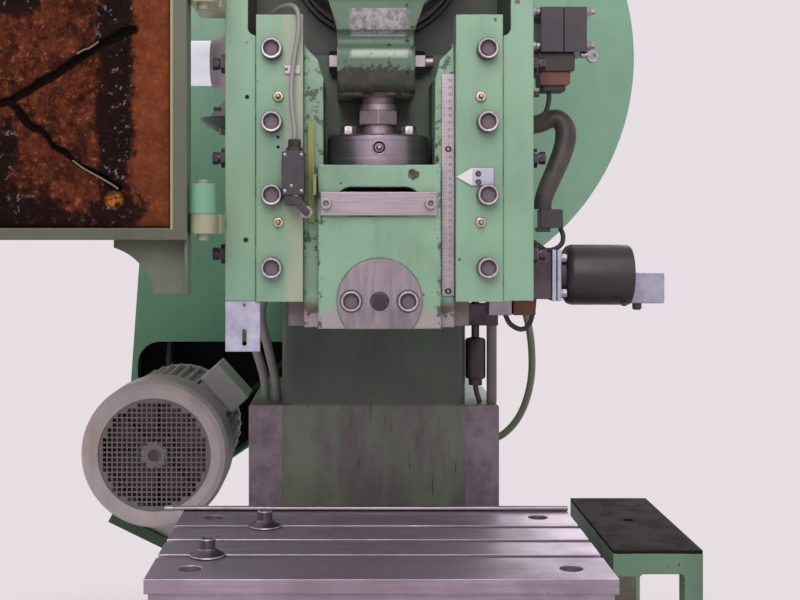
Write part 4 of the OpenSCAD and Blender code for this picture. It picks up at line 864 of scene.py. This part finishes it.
FACING = {
    "front": (Vector((0, -1, 0)), Vector((1, 0, 0))),
    "up": (Vector((0, 0, 1)), Vector((1, 0, 0))),
    "down": (Vector((0, 0, -1)), Vector((1, 0, 0))),
    "right": (Vector((1, 0, 0)), Vector((0, 1, 0))),
    "left": (Vector((-1, 0, 0)), Vector((0, 1, 0))),
}


def rod(radius, low, high):
    """The rings of a plain round rod."""
    return [(0, low), (radius, low), (radius, high), (0, high)]


def soft_outline(x0, z0, x1, z1, r, steps=5):
    """A rectangle's outline with round corners."""
    outline = []
    corners = [(x1 - r, z1 - r), (x0 + r, z1 - r), (x0 + r, z0 + r), (x1 - r, z0 + r)]
    for quarter, (cx, cz) in enumerate(corners):
        for i in range(steps + 1):
            angle = math.radians(90 * quarter + 90 * i / steps)
            outline.append((cx + r * math.cos(angle), cz + r * math.sin(angle)))
    return outline


class Piece:
    """A piece under construction, in press coordinates and millimetres; each call returns the piece."""

    def __init__(self):
        self.mesh = bmesh.new()

    def face(self, corners, finish=0):
        self.mesh.faces.new(corners).material_index = finish

    def turn(self, rings, at, facing="front", sides=24, bands=None, corner=0.0):
        """Rings of (radius, height) or (half across flats, height, flats); bands are their finishes."""
        axis, side = FACING[facing]
        up = axis.cross(side)
        loops = []
        for ring in rings:
            centre = Vector(at) + axis * ring[1]
            if ring[0] == 0:
                loops.append([self.mesh.verts.new(centre)])
                continue
            loop = []
            for i in range(sides):
                angle = 2 * math.pi * i / sides
                radius = ring[0]
                if len(ring) > 2:
                    flat = 2 * math.pi / ring[2]
                    radius = ring[0] / math.cos((angle + corner) % flat - flat / 2)
                out = side * math.cos(angle) + up * math.sin(angle)
                loop.append(self.mesh.verts.new(centre + out * radius))
            loops.append(loop)
        for band, (low, high) in enumerate(zip(loops, loops[1:])):
            finish = bands[band] if bands else 0
            for i in range(sides):
                j = i + 1
                corners = [low[i % len(low)], low[j % len(low)], high[j % len(high)], high[i % len(high)]]
                self.face(list(dict.fromkeys(corners)), finish)
        return self

    def prism(self, outline, start, end, finish=0):
        """An outline of x and z, drawn from one s to another."""
        near = [self.mesh.verts.new((x, start, z)) for x, z in outline]
        far = [self.mesh.verts.new((x, end, z)) for x, z in outline]
        self.face(near, finish)
        self.face(far[::-1], finish)
        for i in range(len(near)):
            j = (i + 1) % len(near)
            self.face([near[i], far[i], far[j], near[j]], finish)
        return self

    def block(self, x, z, s, soft=0.0, finish=0):
        """A block between two places along each axis; soft rounds its corners seen from the front."""
        outline = [(x[0], z[0]), (x[1], z[0]), (x[1], z[1]), (x[0], z[1])]
        if soft:
            outline = soft_outline(x[0], z[0], x[1], z[1], soft)
        return self.prism(outline, s[0], s[1], finish)

    def tube(self, path, radius, sides=14, steps=5):
        """A smooth tube through the points; radius is one size or one for each point."""
        sizes = radius if isinstance(radius, list) else [radius] * len(path)
        points = [Vector(p) for p in path]
        route = []
        for i in range(len(points) - 1):
            before = points[max(i - 1, 0)]
            after = points[min(i + 2, len(points) - 1)]
            for k in range(steps):
                t = k / steps
                a = points[i] * 2 + (points[i + 1] - before) * t
                b = (before * 2 - points[i] * 5 + points[i + 1] * 4 - after) * t * t
                c = (points[i] * 3 - before - points[i + 1] * 3 + after) * t * t * t
                route.append(((a + b + c) / 2, sizes[i] + (sizes[i + 1] - sizes[i]) * t))
        route.append((points[-1], sizes[-1]))
        angles = [2 * math.pi * k / sides for k in range(sides)]
        loops = []
        side = (route[1][0] - route[0][0]).orthogonal()
        for i, (centre, size) in enumerate(route):
            ahead = (route[min(i + 1, len(route) - 1)][0] - route[max(i - 1, 0)][0]).normalized()
            side = (side - ahead * side.dot(ahead)).normalized()
            up = ahead.cross(side)
            loops.append([
                self.mesh.verts.new(centre + (side * math.cos(a) + up * math.sin(a)) * size) for a in angles
            ])
        for low, high in zip(loops, loops[1:]):
            for k in range(sides):
                self.face([low[k], low[(k + 1) % sides], high[(k + 1) % sides], high[k]])
        self.face(loops[0][::-1])
        self.face(loops[-1])
        return self

    def place(self, name, slot, finishes, stands_for=None, body="frame", soft=0.0, sharp=35):
        """Makes the object with its finishes, and lets it ride on its body."""
        bmesh.ops.recalc_face_normals(self.mesh, faces=self.mesh.faces)
        for corner in self.mesh.verts:
            corner.co = press(*corner.co)
        mesh = bpy.data.meshes.new(name)
        self.mesh.to_mesh(mesh)
        self.mesh.free()
        mesh.polygons.foreach_set("use_smooth", [True] * len(mesh.polygons))
        mesh.set_sharp_from_angle(angle=math.radians(sharp))
        made = mount(mesh, finishes, stands_for, body)
        if soft:
            soften(made, soft)


def mount(mesh, finishes, stands_for=None, body="frame"):
    """An object of a mesh, with its finishes, on its body."""
    for finish in finishes.split():
        mesh.materials.append(FINISHES[finish])
    made = bpy.data.objects.new(mesh.name, mesh)
    SCENE.collection.objects.link(made)
    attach(made, body)
    if stands_for:
        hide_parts(stands_for)
    return made


def cap_screw(piece, x, s, z):
    """A socket cap screw that faces the operator: dark side, bright chamfer, dark socket."""
    radius = CAP_SCREW
    head = 2 * radius
    flat = 0.86 * radius
    rings = [
        (0, -1), (1.5 * radius, -1), (1.5 * radius, head - 0.17 * radius),
        (1.37 * radius, head), (1.16 * radius, head),
        (flat, head - 0.10 * radius, 6), (flat, head - 0.5 * radius, 6), (0, head - 0.6 * radius),
    ]
    piece.turn(rings, (x, s, z), sides=48, bands=[0, 0, 1, 1, 0, 2, 2], corner=math.radians(30))


def hex_bolt(piece, at, facing, half_flat, height, washer=0.0, sides=24):
    """A hexagon head with chamfered corners on its washer."""
    low = 0.0
    if washer:
        piece.turn(rod(washer, 0, 2), at, facing, sides=sides)
        low = 2.0
    corner_z = height - 0.12 * half_flat
    rings = [(0, low), (half_flat, low, 6), (half_flat, corner_z, 6), (0.98 * half_flat, height), (0, height)]
    piece.turn(rings, at, facing, sides=sides)


CAP_SCREW_FINISHES = "black_oxide worn_rim socket_shade"


def make_cap_screws():
    """The screws of the gib plates and of the tool clamp."""
    piece = Piece()
    for side in (-1, 1):
        for z in GIB_SCREW_Z:
            cap_screw(piece, side * GIB_SCREW_X, GIB.s0, z)
    piece.place("gib_cap_screws", "black_steel", CAP_SCREW_FINISHES, "gib_screws")
    piece = Piece()
    for x in (-40, 40):
        cap_screw(piece, x, RAM.s0 + 11, RAM.z0 + 39)
    piece.place("clamp_cap_screws", "black_steel", CAP_SCREW_FINISHES, "shank_clamp_screws", "ram")


def nipple(piece, at):
    """A grease nipple: hexagon, neck and ball."""
    hexagon = [(0, 0), (6.8, 0, 6), (6.8, 5, 6), (6.0, 6), (4.2, 6)]
    ball = [(4.0, 8.5), (2.6, 10), (3.3, 12), (3.3, 13.4), (2.2, 15), (0, 15.3)]
    piece.turn(hexagon + ball, at, bands=[0] * 5 + [1] * 5)


def make_nipples():
    """Four nipples on the gib plates, and one in its countersink on the ball's retainer."""
    piece = Piece()
    for side in (-1, 1):
        for z in NIPPLE_Z:
            nipple(piece, (side * NIPPLE_X, GIB.s0, z))
    piece.place("gib_nipples", "zinc_steel", "nipple_brass bright_steel", "grease_nipples")
    piece = Piece()
    z = RETAINER.z0 + 26
    piece.turn([(8.9, -0.5), (10.6, 0.6), (10.2, 1.2), (8.4, 0.2)], (0, RETAINER.s0, z), sides=32)
    nipple(piece, (0, RETAINER.s0 + 9, z))
    piece.place("retainer_nipple", "zinc_steel", "bright_steel bright_steel", body="ram")


def make_retainer_bolts():
    piece = Piece()
    for x in (-44, 44):
        for s in (-40, 40):
            hex_bolt(piece, (x, s, RETAINER.z1), "up", 9.5, 12.5, washer=13, sides=48)
    piece.place("retainer_hex_bolts", "zinc_steel", "bright_steel", "retainer_bolts", "ram")


def make_t_bolts():
    """Two clamping bolts with flared collars that stand in the bolster's slots."""
    piece = Piece()
    collar = 25
    rings = [
        (0, 0), (collar, 0), (25.5, 2), (24.5, 3.5), (19, 5.5), (14.5, 9.5), (13.6, 10.5), (12.8, 11),
        (11.6, 11.5), (11.6, 24.5), (10.4, 26), (8.4, 26), (7.0, 25.4, 6), (7.0, 18, 6), (0, 17.5),
    ]
    bands = [0, 0, 1, 0, 0, 0, 1, 0, 0, 1, 1, 0, 2, 2]
    for x, s in ((T_BOLTS.x1 - collar, T_BOLTS.s1 - collar), (T_BOLTS.x0 + collar, T_BOLTS.s0 + collar)):
        piece.turn(rings, (x, s, BOLSTER.z1), "up", sides=48, bands=bands)
    piece.place("slot_bolts", "black_steel", "dark_steel worn_rim socket_shade", "t_bolts")


def make_scale_marks():
    """Marks and generic numbers along the scale, and its two screws."""
    front = SCALE.s0 + 1.5
    pitch = 5
    first = SCALE.z0 + 8
    count = int((SCALE.z1 - SCALE.z0 - 14) / pitch)
    ticks = Piece()
    for i in range(count):
        z = first + pitch * i
        start = SCALE.x0 + 0.8
        length = 5.5 if i % 2 == 0 else 3.2
        ticks.block((start, start + length), (z - 0.2, z + 0.2), (front - 0.12, front))
    ticks.place("scale_marks", "black_plastic", "ink", body="ram")
    numbers = bpy.data.curves.new("scale_numbers", "FONT")
    numbers.body = "\n".join(str(count // 2 - i) for i in range(count // 2))
    numbers.size = 0.0052
    numbers.space_line = 2 * pitch * MM / numbers.size
    numbers.align_x = "CENTER"
    numbers.extrude = 0.00004
    lettering = bpy.data.objects.new("scale_numbers", numbers)
    SCENE.collection.objects.link(lettering)
    bpy.context.view_layer.update()
    mesh = bpy.data.meshes.new_from_object(lettering.evaluated_get(bpy.context.evaluated_depsgraph_get()))
    bpy.data.objects.remove(lettering)
    mesh.name = "scale_numbers"
    place = press((SCALE.x0 + SCALE.x1) / 2 + 2.4, front - 0.05, first + 2 * pitch * (count // 2) - 1.8)
    mesh.transform(Matrix.Translation(place) @ Matrix.Rotation(math.radians(90), 4, "X"))
    mesh.materials.clear()
    mount(mesh, "ink", body="ram")
    screws = Piece()
    rings = [(0, 0), (4.4, 0), (4.2, 1.8), (3.0, 2.6), (1.8, 2.7, 6), (1.8, 1.2, 6), (0, 1.1)]
    for z in (RAM.z0 + 52, RAM.z0 + 255):
        screws.turn(rings, (98.5, front, z), bands=[0, 0, 0, 0, 1, 1])
    screws.place("scale_screws", "black_steel", "black_oxide socket_shade", body="ram")


def make_pointer():
    """The white arrow and its zinc plate with two screws."""
    middle = 1387
    face = GIB.s0 - 3.0
    arrow = [(GIB.x0 - 0.5, middle), (131, middle + 13), (131, middle - 13)]
    arrow_piece = Piece().prism(arrow, face - 0.2, GIB.s0 - 1.0)
    arrow_piece.place("pointer_arrow", "white_plastic", "white_paint", "scale_pointer", soft=0.5)
    plate = Piece().block((130.5, 161), (middle - 12.5, middle + 12.5), (face, GIB.s0))
    plate.place("pointer_plate", "zinc_steel", "zinc_plate", soft=0.6)
    piece = Piece()
    rings = [(0, 0), (4.1, 0), (4.1, 1.6), (3.4, 2.4), (2.1, 2.4, 6), (2.1, 0.9, 6), (0, 0.8)]
    for z in (middle - 7, middle + 4.5):
        piece.turn(rings, (139, face, z), bands=[0, 0, 0, 0, 1, 1])
    piece.place("pointer_screws", "black_steel", "black_oxide socket_shade")


def make_switch():
    """The limit switch: moulded body with a cover, its screws, a dark head and a ribbed gland."""
    x0, x1 = SWITCH.x0, SWITCH.x1
    z0, z1 = SWITCH.z0 + 12, SWITCH.z1 - 17
    front = SWITCH.s0 + 0.4
    body = Piece()
    body.block((x0, x1), (z0, z1), (front + 5, GIB.s0), 4)
    body.block((x0 + 0.8, x1 - 0.8), (z0 + 1, z1 - 1), (front, front + 4.4), 4)
    body.block((x0 + 4, x1 - 4), (z0 - 13, z0 + 1), (front + 2, GIB.s0 - 5), 2.5)
    body.place("switch_housing", "black_plastic", "black_plastic", "switch_body", soft=0.7)
    rings = [(0, -1), (10.2, -1, 6), (10.2, 4.5, 6), (9.0, 5)]
    for rib in (0, 2.6, 5.2, 7.8):
        rings += [(9.2, 5.6 + rib), (9.2, 7.2 + rib), (8.4, 7.6 + rib), (8.4, 8.1 + rib)]
    rings += [(7.0, 16.6), (3.6, 17), (0, 17)]
    gland = Piece().turn(rings, (x0 + 17, SWITCH.s0 + 19, z1), "up", sides=36)
    shaft = [(0, -14), (7.2, -14), (7.2, 1.4), (5.8, 2.2), (0, 2.2)]
    gland.turn(shaft, (x0 + 20, front - 1, z0 - 6), sides=28)
    gland.place("switch_gland", "black_plastic", "black_rubber")
    screws = Piece()
    rings = [(0, 0), (2.7, 0), (2.5, 1.2), (1.4, 1.6), (0, 1.6)]
    corners = [(x, z) for x in (x0 + 4.6, x1 - 4.6) for z in (z1 - 6, z0 + 7)]
    for x, z in corners + [(x0 + 13.5, z0 + 14)]:
        screws.turn(rings, (x, front, z), sides=20)
    screws.place("switch_screws", "zinc_steel", "bright_steel")


def make_switch_cable():
    """The switch's cable: from its gland up the gib, over the top and into the chamber's wall."""
    route = [
        (-11, -114, -177), (-11, -114, -164), (-14, -112, -136), (-16, -110, -104), (-13, -108, -71),
        (-9, -107, -46), (-6, -106, -24), (-6, -105, -4), (-10, -102, 8), (-20, -90, 14),
        (-34, -72, 13), (-46, -50, 8), (-55, -20, 2), (-60, 20, -4), (-62, 56, -8), (-62, 71.9, -8),
    ]
    cable = Piece().tube([(x - GIB.x0, s, z + GIB.z1) for x, s, z in route], 3.4, sides=16)
    cable.place("switch_lead", "grey_cable", "grey_sheath", "switch_cable", sharp=60)


def make_lubricator():
    """White glass on a grey bell flange, with the drip dish below it."""
    middle = HEAD_Z + 353
    wall = -FRAME_HALF
    bell = [
        (0, 0), (53, 0), (55, 2), (55, 7), (52, 9.5), (46, 12.5),
        (41.5, 17), (38.5, 23), (37, 30), (36, 33), (0, 33),
    ]
    flange = Piece().turn(bell, (wall, 40, middle), "left", sides=64)
    bracket = [(0, -54), (-9, -56), (-32, -78), (-34, -84), (0, -84)]
    flange.prism([(wall + x, middle + z) for x, z in bracket], 22, 58)
    flange.place("lubricator_flange", "grey_paint", "grey_plastic", soft=0.8)
    rings = [(0, 30), (33.5, 30), (34, 33.5), (34, 70), (33, 73), (29, 76.5), (0, 77)]
    glass = Piece().turn(rings, (wall, 40, middle), "left", sides=64)
    glass.place("lubricator_glass", "white_plastic", "glowing_milky_glass", "oil_reservoir")
    rings = [(0, 0), (20, 0), (40, 9), (47, 17), (48, 20), (46, 20), (38, 12), (20, 4), (0, 4)]
    dish = Piece().turn(rings, (wall - 4, 40, middle - 104), "up", sides=48)
    dish.turn([(0, -6), (8, -6, 6), (8, 10, 6), (0, 10)], (wall - 12, 22, middle - 104), "up")
    dish.place("drip_dish", "black_steel", "dish_enamel")
    piece = Piece()
    for x in (-20, -26):
        piece.turn(rod(3.4, -1, 0.6), (wall + x, 21.8, middle - 71), sides=16)
    piece.place("flange_slot", "black_steel", "socket_shade")


# The lining's grooves with half their width, as places on the door in x and z
GROOVES = [
    (6.0, [(-700, 1480), (-540, 1478), (-495, 1484), (-434, 1520), (-376, 1559), (-327, 1582)]),
    (3.6, [(-500, 1486), (-468, 1452), (-416, 1411), (-349, 1368)]),
]
# Where oil has soaked into it: x, z and the reach along each
SOAKED = [
    (-356, 1600, 26, 70), (-352, 1500, 26, 90), (-356, 1420, 20, 60), (-352, 1340, 50, 26),
    (-500, 1612, 60, 34), (-480, 1330, 56, 36), (-500, 1420, 18, 60), (-440, 1322, 40, 12),
    (-640, 1330, 90, 40), (-380, 1850, 30, 90),
]


def groove_distance(x, z):
    """The distance to the nearest groove's middle, as a share of its half width."""
    best = 100.0
    for reach, groove in GROOVES:
        for (ax, az), (bx, bz) in zip(groove, groove[1:]):
            length = (bx - ax) ** 2 + (bz - az) ** 2
            t = max(0.0, min(1.0, ((x - ax) * (bx - ax) + (z - az) * (bz - az)) / length))
            best = min(best, math.hypot(x - ax - t * (bx - ax), z - az - t * (bz - az)) / reach)
    return best


def make_lining():
    """The door's oil-soaked foam: a lumpy sheet with two grooves that meet."""
    pitch = 2.8
    wide = LINING.x1 - LINING.x0
    tall = LINING.z1 - LINING.z0
    columns = int(wide / pitch)
    rows = int(tall / pitch)
    bm = bmesh.new()
    gap_layer = bm.verts.layers.float.new("gap")
    soak_layer = bm.verts.layers.float.new("soak")
    grid = []
    for j in range(rows + 1):
        line = []
        for i in range(columns + 1):
            x = LINING.x0 + wide * i / columns
            z = LINING.z0 + tall * j / rows
            rim = min(x - LINING.x0, LINING.x1 - x, z - LINING.z0, LINING.z1 - z)
            wobble = 5 * noise.noise(Vector((x / 26, z / 26, 3.1)))
            away = groove_distance(x + wobble, z + wobble)
            groove = math.exp(-((away / 0.9) ** 2))
            lip = math.exp(-(((away - 2.2) / 1.2) ** 2))
            lump = noise.fractal(Vector((x / 15, z / 15, 0.7)), 0.8, 2.2, 4)
            swell = noise.noise(Vector((x / 70, z / 70, 5.0)))
            depth = 3.0 + 1.6 * swell + 1.3 * lump - 8.0 * groove + 1.6 * lip - 6.0 * math.exp(-rim / 4.0)
            vert = bm.verts.new(press(x, LINING.s0 - depth, z))
            vert[gap_layer] = min(1.0, 0.18 * away)
            soak = sum(math.exp(-((x - a) / w) ** 2 - ((z - b) / h) ** 2) for a, b, w, h in SOAKED)
            vert[soak_layer] = min(1.0, soak)
            line.append(vert)
        grid.append(line)
    for low, high in zip(grid, grid[1:]):
        for i in range(columns):
            bm.faces.new([low[i], low[i + 1], high[i + 1], high[i]])
    border = grid[0] + [line[-1] for line in grid[1:]]
    border += grid[-1][-2::-1] + [line[0] for line in grid[-2:0:-1]]
    back = [bm.verts.new((v.co.x, press(0, LINING.s1, 0).y, v.co.z)) for v in border]
    for i in range(len(border)):
        bm.faces.new([border[i], border[i - 1], back[i - 1], back[i]])
    bm.faces.new(back)
    bmesh.ops.recalc_face_normals(bm, faces=bm.faces)
    mesh = bpy.data.meshes.new("foam_lining")
    bm.to_mesh(mesh)
    bm.free()
    mesh.polygons.foreach_set("use_smooth", [True] * len(mesh.polygons))
    lining = mount(mesh, "soaked_foam", "door_lining", "door")


def make_seam_strings():
    """Two loose ends of string in the lining's grooves."""
    piece = Piece()
    face = LINING.s0 - 2.6
    long_end = [(-411, 1405), (-396, 1394), (-378, 1384), (-362, 1375), (-350, 1367)]
    short_end = [(-405, 1547), (-396, 1552), (-388, 1555), (-376, 1563)]
    for route in (long_end, short_end):
        piece.tube([(x, face - 0.8 * (i % 2), z) for i, (x, z) in enumerate(route)], 1.3, sides=8)
    piece.place("seam_strings", "oiled_foam", "seam_string", body="door", sharp=60)


def make_motor_hub():
    """The petalled hub cap in the middle of the cowl's grille."""
    petals = 6
    reach = 21
    rings = [(0, 0), (reach, 0), (reach, 2.4), (19.5, 3.6), (13, 3.6), (11.5, 5), (10.5, 5)]
    rings += [(10, 3.6), (0, 3.4)]
    piece = Piece().turn(rings, (MOTOR_X, COWL.s0 + 2.5, MOTOR_Z), sides=40, bands=[0] * 6 + [1] * 2)
    for i in range(petals):
        angle = math.radians(360 / petals * i + 20)
        petal = (MOTOR_X + reach * math.cos(angle), COWL.s0 + 2.4, MOTOR_Z + reach * math.sin(angle))
        piece.turn([(0, 0), (5, 0), (5, 2.4), (3.6, 4), (0, 4)], petal, sides=16)
    piece.place("grille_hub", "grey_paint", "hub_enamel hub_shade")


def make_valve_details():
    """Standoffs, studs with nuts, the ring fitting, the worn solenoid and its lead."""
    x1, z0 = VALVE.x1, VALVE.z0
    wall = FRAME_HALF
    piece = Piece()
    for s in (VALVE.s0 + 12, VALVE.s1 - 12):
        for z in (z0 + 10, VALVE.z1 - 6):
            standoff = [(0, 0), (8.5, 0), (8.5, 12), (6.5, 13), (6.5, 19), (0, 19)]
            piece.turn(standoff, (wall, s, z), "right", sides=28)
            hex_bolt(piece, (x1, s, z), "right", 6.5, 7, washer=8.5)
            piece.turn([(0, 6), (4, 6), (4, 13), (3.2, 14), (0, 14)], (x1, s, z), "right", sides=20)
    piece.place("valve_fasteners", "zinc_steel", "ground_steel", "valve_studs")
    ring = [(4.0, -3), (8.6, -3), (9.4, -2), (9.4, 2), (8.6, 3), (4.0, 3), (4.0, -3)]
    piece = Piece().turn(ring, (x1 + 10, VALVE.s0 + 8, z0 - 6), sides=28)
    piece.turn(rod(4.6, 0, 12), (x1 - 8, VALVE.s0 + 8, z0 - 4), "right", sides=20)
    piece.place("ring_fitting", "zinc_steel", "bright_steel")
    x = VALVE.x0 + 24
    piece = Piece()
    piece.block((x - 27, x + 27), (z0 - 27, z0), (-26, 26), 3, 0)
    piece.block((x - 24, x + 21), (z0 - 47, z0 - 27), (-22, 22), 4, 1)
    piece.block((x - 19, x + 15), (z0 - 56, z0 - 47), (-18, 18), 3, 0)
    piece.place("valve_solenoid", "black_steel", "cast_iron rust_coil", "silencer", soft=1.0)
    lead = [(x - 8, -6, -55), (x - 8, -6, -68), (x - 12, -4, -84), (x - 22, 0, -96), (wall + 0.2, 6, -102)]
    piece = Piece().tube([(u, s, z0 + z) for u, s, z in lead], 3.6)
    for z in (z0 - 34, z0 - 62):
        hex_bolt(piece, (wall, -34, z), "right", 8, 8)
        piece.turn(rod(4.5, 8, 16), (wall, -34, z), "right", sides=20)
    piece.place("solenoid_lead", "black_rubber", "black_rubber")


def make_hose():
    """The thick bent hose with its boot and its plug, and the short lead below it."""
    top = HEAD_Z
    wall = FRAME_HALF
    route = [
        (12, 40, 258), (30, 38, 262), (44, 36, 268), (57, 33, 267), (65, 31, 255), (66, 29, 238),
        (61, 27, 218), (53, 25, 198), (44, 23, 178), (36, 21, 160), (31, 20, 145), (30, 20, 131),
    ]
    sizes = [14, 14, 14, 14.5, 15.5, 16, 15.5, 15, 14.5, 14, 13.5, 13]
    piece = Piece().tube([(x + wall, s, z + top) for x, s, z in route], sizes, sides=24)
    boot = [(0, 0), (20, 0), (20.5, 3), (20, 11), (18, 14), (16, 18), (0, 18)]
    piece.turn(boot, (wall, 40, top + 258), "right", sides=36)
    piece.place("bent_hose", "black_rubber", "hose_rubber", "hose_elbow", sharp=60)
    piece = Piece()
    piece.block((wall + 24, wall + 58), (top + 103, top + 131), (4, 36), 2.5)
    piece.block((wall + 20, wall + 40), (top + 97, top + 104), (8, 32), 2)
    piece.place("hose_plug", "black_plastic", "black_plastic", soft=1.0)
    lead = [
        (56, 18, 103), (60, 18, 92), (58, 16, 80), (48, 14, 72),
        (34, 12, 70), (24, 12, 76), (12, 12, 84), (0.2, 12, 88),
    ]
    piece = Piece().tube([(x + wall, s, z + top) for x, s, z in lead], 3.6)
    piece.place("plug_lead", "black_rubber", "black_rubber", sharp=60)


def make_cam_unit():
    """The rotary cam switch: blocks, two plates, the black drum with its shoulder and a zinc cover."""
    middle = (CAM_SWITCH.z0 + CAM_SWITCH.z1) / 2
    axis = 30
    x = FRAME_HALF
    piece = Piece().block((x + 0.2, x + 40), (middle - 35, middle + 35), (axis - 34, axis + 34), 2)
    piece.place("cam_unit_block", "machined_steel", "block_steel", "cam_switch_mount", soft=1.0)
    under = (HEAD_Z - 29, HEAD_Z - 0.2)
    piece = Piece()
    piece.block((x - 50, x - 15), under, (axis, axis + 50), 2, 0)
    piece.block((x - 13, x + 21), under, (axis, axis + 50), 2, 1)
    piece.place("cheek_blocks", "machined_steel", "ground_steel brown_steel", soft=1.0)
    piece = Piece()
    for start in (x + 40, x + 47.5):
        piece.block((start, start + 6), (middle - 38, middle + 38), (axis - 37, axis + 37), 1)
    for z in (middle - 26, middle + 26):
        hex_bolt(piece, (x + 53.5, axis - 29, z), "right", 6, 9, washer=8)
    piece.place("cam_unit_plates", "bright_steel", "zinc_plate", soft=0.5)
    drum = [
        (0, 0), (24, 0), (32, 0.5), (32, 8), (38, 9), (43, 13),
        (45.3, 19), (45.5, 20), (45.5, 106), (44, 108), (0, 108),
    ]
    piece = Piece().turn(drum, (x + 54, axis, middle), "right", sides=72)
    piece.place("cam_unit_drum", "black_plastic", "drum_enamel", "cam_switch")
    piece = Piece().block((x + 161, x + 214), (middle - 43, middle + 3), (axis - 6, axis + 30), 3)
    piece.place("cam_unit_cover", "bright_steel", "zinc_blue", soft=1.0)
    knob = Piece()
    knob.turn([(0, 0), (7, 0), (7, 9), (5, 11), (0, 11)], (x + 176, axis + 10, middle - 42.5), "down")
    knob.turn([(0, 0), (4, 0), (4, 5), (3, 6), (0, 6)], (x + 150, axis - 20, middle - 40), "down")
    knob.place("cam_unit_knob", "black_plastic", "black_plastic")


def make_conduits():
    """Cables and pipes down the neck, the level switch with its holder, and the drain hose."""
    top = HEAD_Z
    foot = BLOCK_TOP
    long_cable = [(-205, 407, 0), (-222, 404, -26), (-227, 402, -66), (-214, 402, -110)]
    short_cable = [(-183, 377, 0), (-196, 376, -24), (-200, 376, -60), (-190, 377, -104)]
    long_end = [(-198, 404, foot + 40), (-194, 405, foot)]
    short_end = [(-176, 379, foot + 40), (-172, 380, foot)]
    piece = Piece()
    for cable, end in ((long_cable, long_end), (short_cable, short_end)):
        piece.tube([(x, s, top + z) for x, s, z in cable] + end, 8, sides=18)
    piece.place("neck_cables", "grey_cable", "grey_sheath", "conduits", sharp=60)
    rise = top - foot
    pipe = [(0, 0), (9, 0), (9, rise - 32), (10.5, rise - 31), (10.5, rise - 24), (9, rise - 23)]
    pipe += [(9, rise), (0, rise)]
    piece = Piece().turn(pipe, (FRAME_HALF - 9.5, 347, foot), "up", bands=[0, 0, 0, 1, 0, 0, 0])
    piece.place("oil_pipe", "grey_cable", "pipe_steel worn_rim")
    body = [(0, 0), (12, 0), (12, 10), (17, 12), (18, 16), (18, 78), (16, 82), (8, 84), (7, 85)]
    body += [(7, 174), (0, 174)]
    piece = Piece().turn(body, (180, 350, top - 174), "up", sides=36)
    piece.tube([(180, 350, top - 173), (182, 350, top - 186), (186, 348, top - 200), (189, 347, foot)], 4.5)
    piece.place("level_switch", "black_plastic", "sensor_brown")
    holder = Piece().block((165, 218), (top - 68, top - 30), (329, 370))
    holder.place("pipe_holder", "black_steel", "block_steel", soft=1.0)
    low = foot - 84
    drop = [
        (0.1, 467, 0), (10, 467, 0), (26, 459, 0.03), (44, 449, 0.09), (58, 439, 0.17),
        (67, 430, 0.26), (72, 423, 0.36), (72, 417, 0.47), (68, 412, 0.58), (60, 408, 0.69),
        (49, 405, 0.79), (36, 403, 0.88), (22, 402, 0.95), (9, 402, 1), (0.1, 402, 1),
    ]
    path = [(FRAME_HALF + x, s, low + share * (top + 52 - low)) for x, s, share in drop]
    Piece().tube(path, 6.5, sides=16, steps=3).place("drain_hose", "grey_cable", "drain_sheath", sharp=60)
    loop = [(196, 60, -28), (204, 58, -44), (220, 54, -52), (232, 50, -44), (237, 44, -22), (238, 40, -3)]
    lead = Piece().tube([(x, s, top + z) for x, s, z in loop], 3.8)
    lead.place("cam_unit_lead", "black_rubber", "black_rubber", sharp=60)


def build_pieces():
    make_cap_screws()
    make_nipples()
    make_retainer_bolts()
    make_t_bolts()
    make_scale_marks()
    make_pointer()
    make_switch()
    make_switch_cable()
    make_lubricator()
    make_lining()
    make_seam_strings()
    make_motor_hub()
    make_valve_details()
    make_hose()
    make_cam_unit()
    make_conduits()


SCENE.view_settings.view_transform = "Standard"
set_camera()
for build_group in (edge_wear_group, crevice_group, grime_group, chips_group, brushed_group):
    build_group()
set_light()
set_floor()
build_finishes()
dress_nodes()
build_pieces()
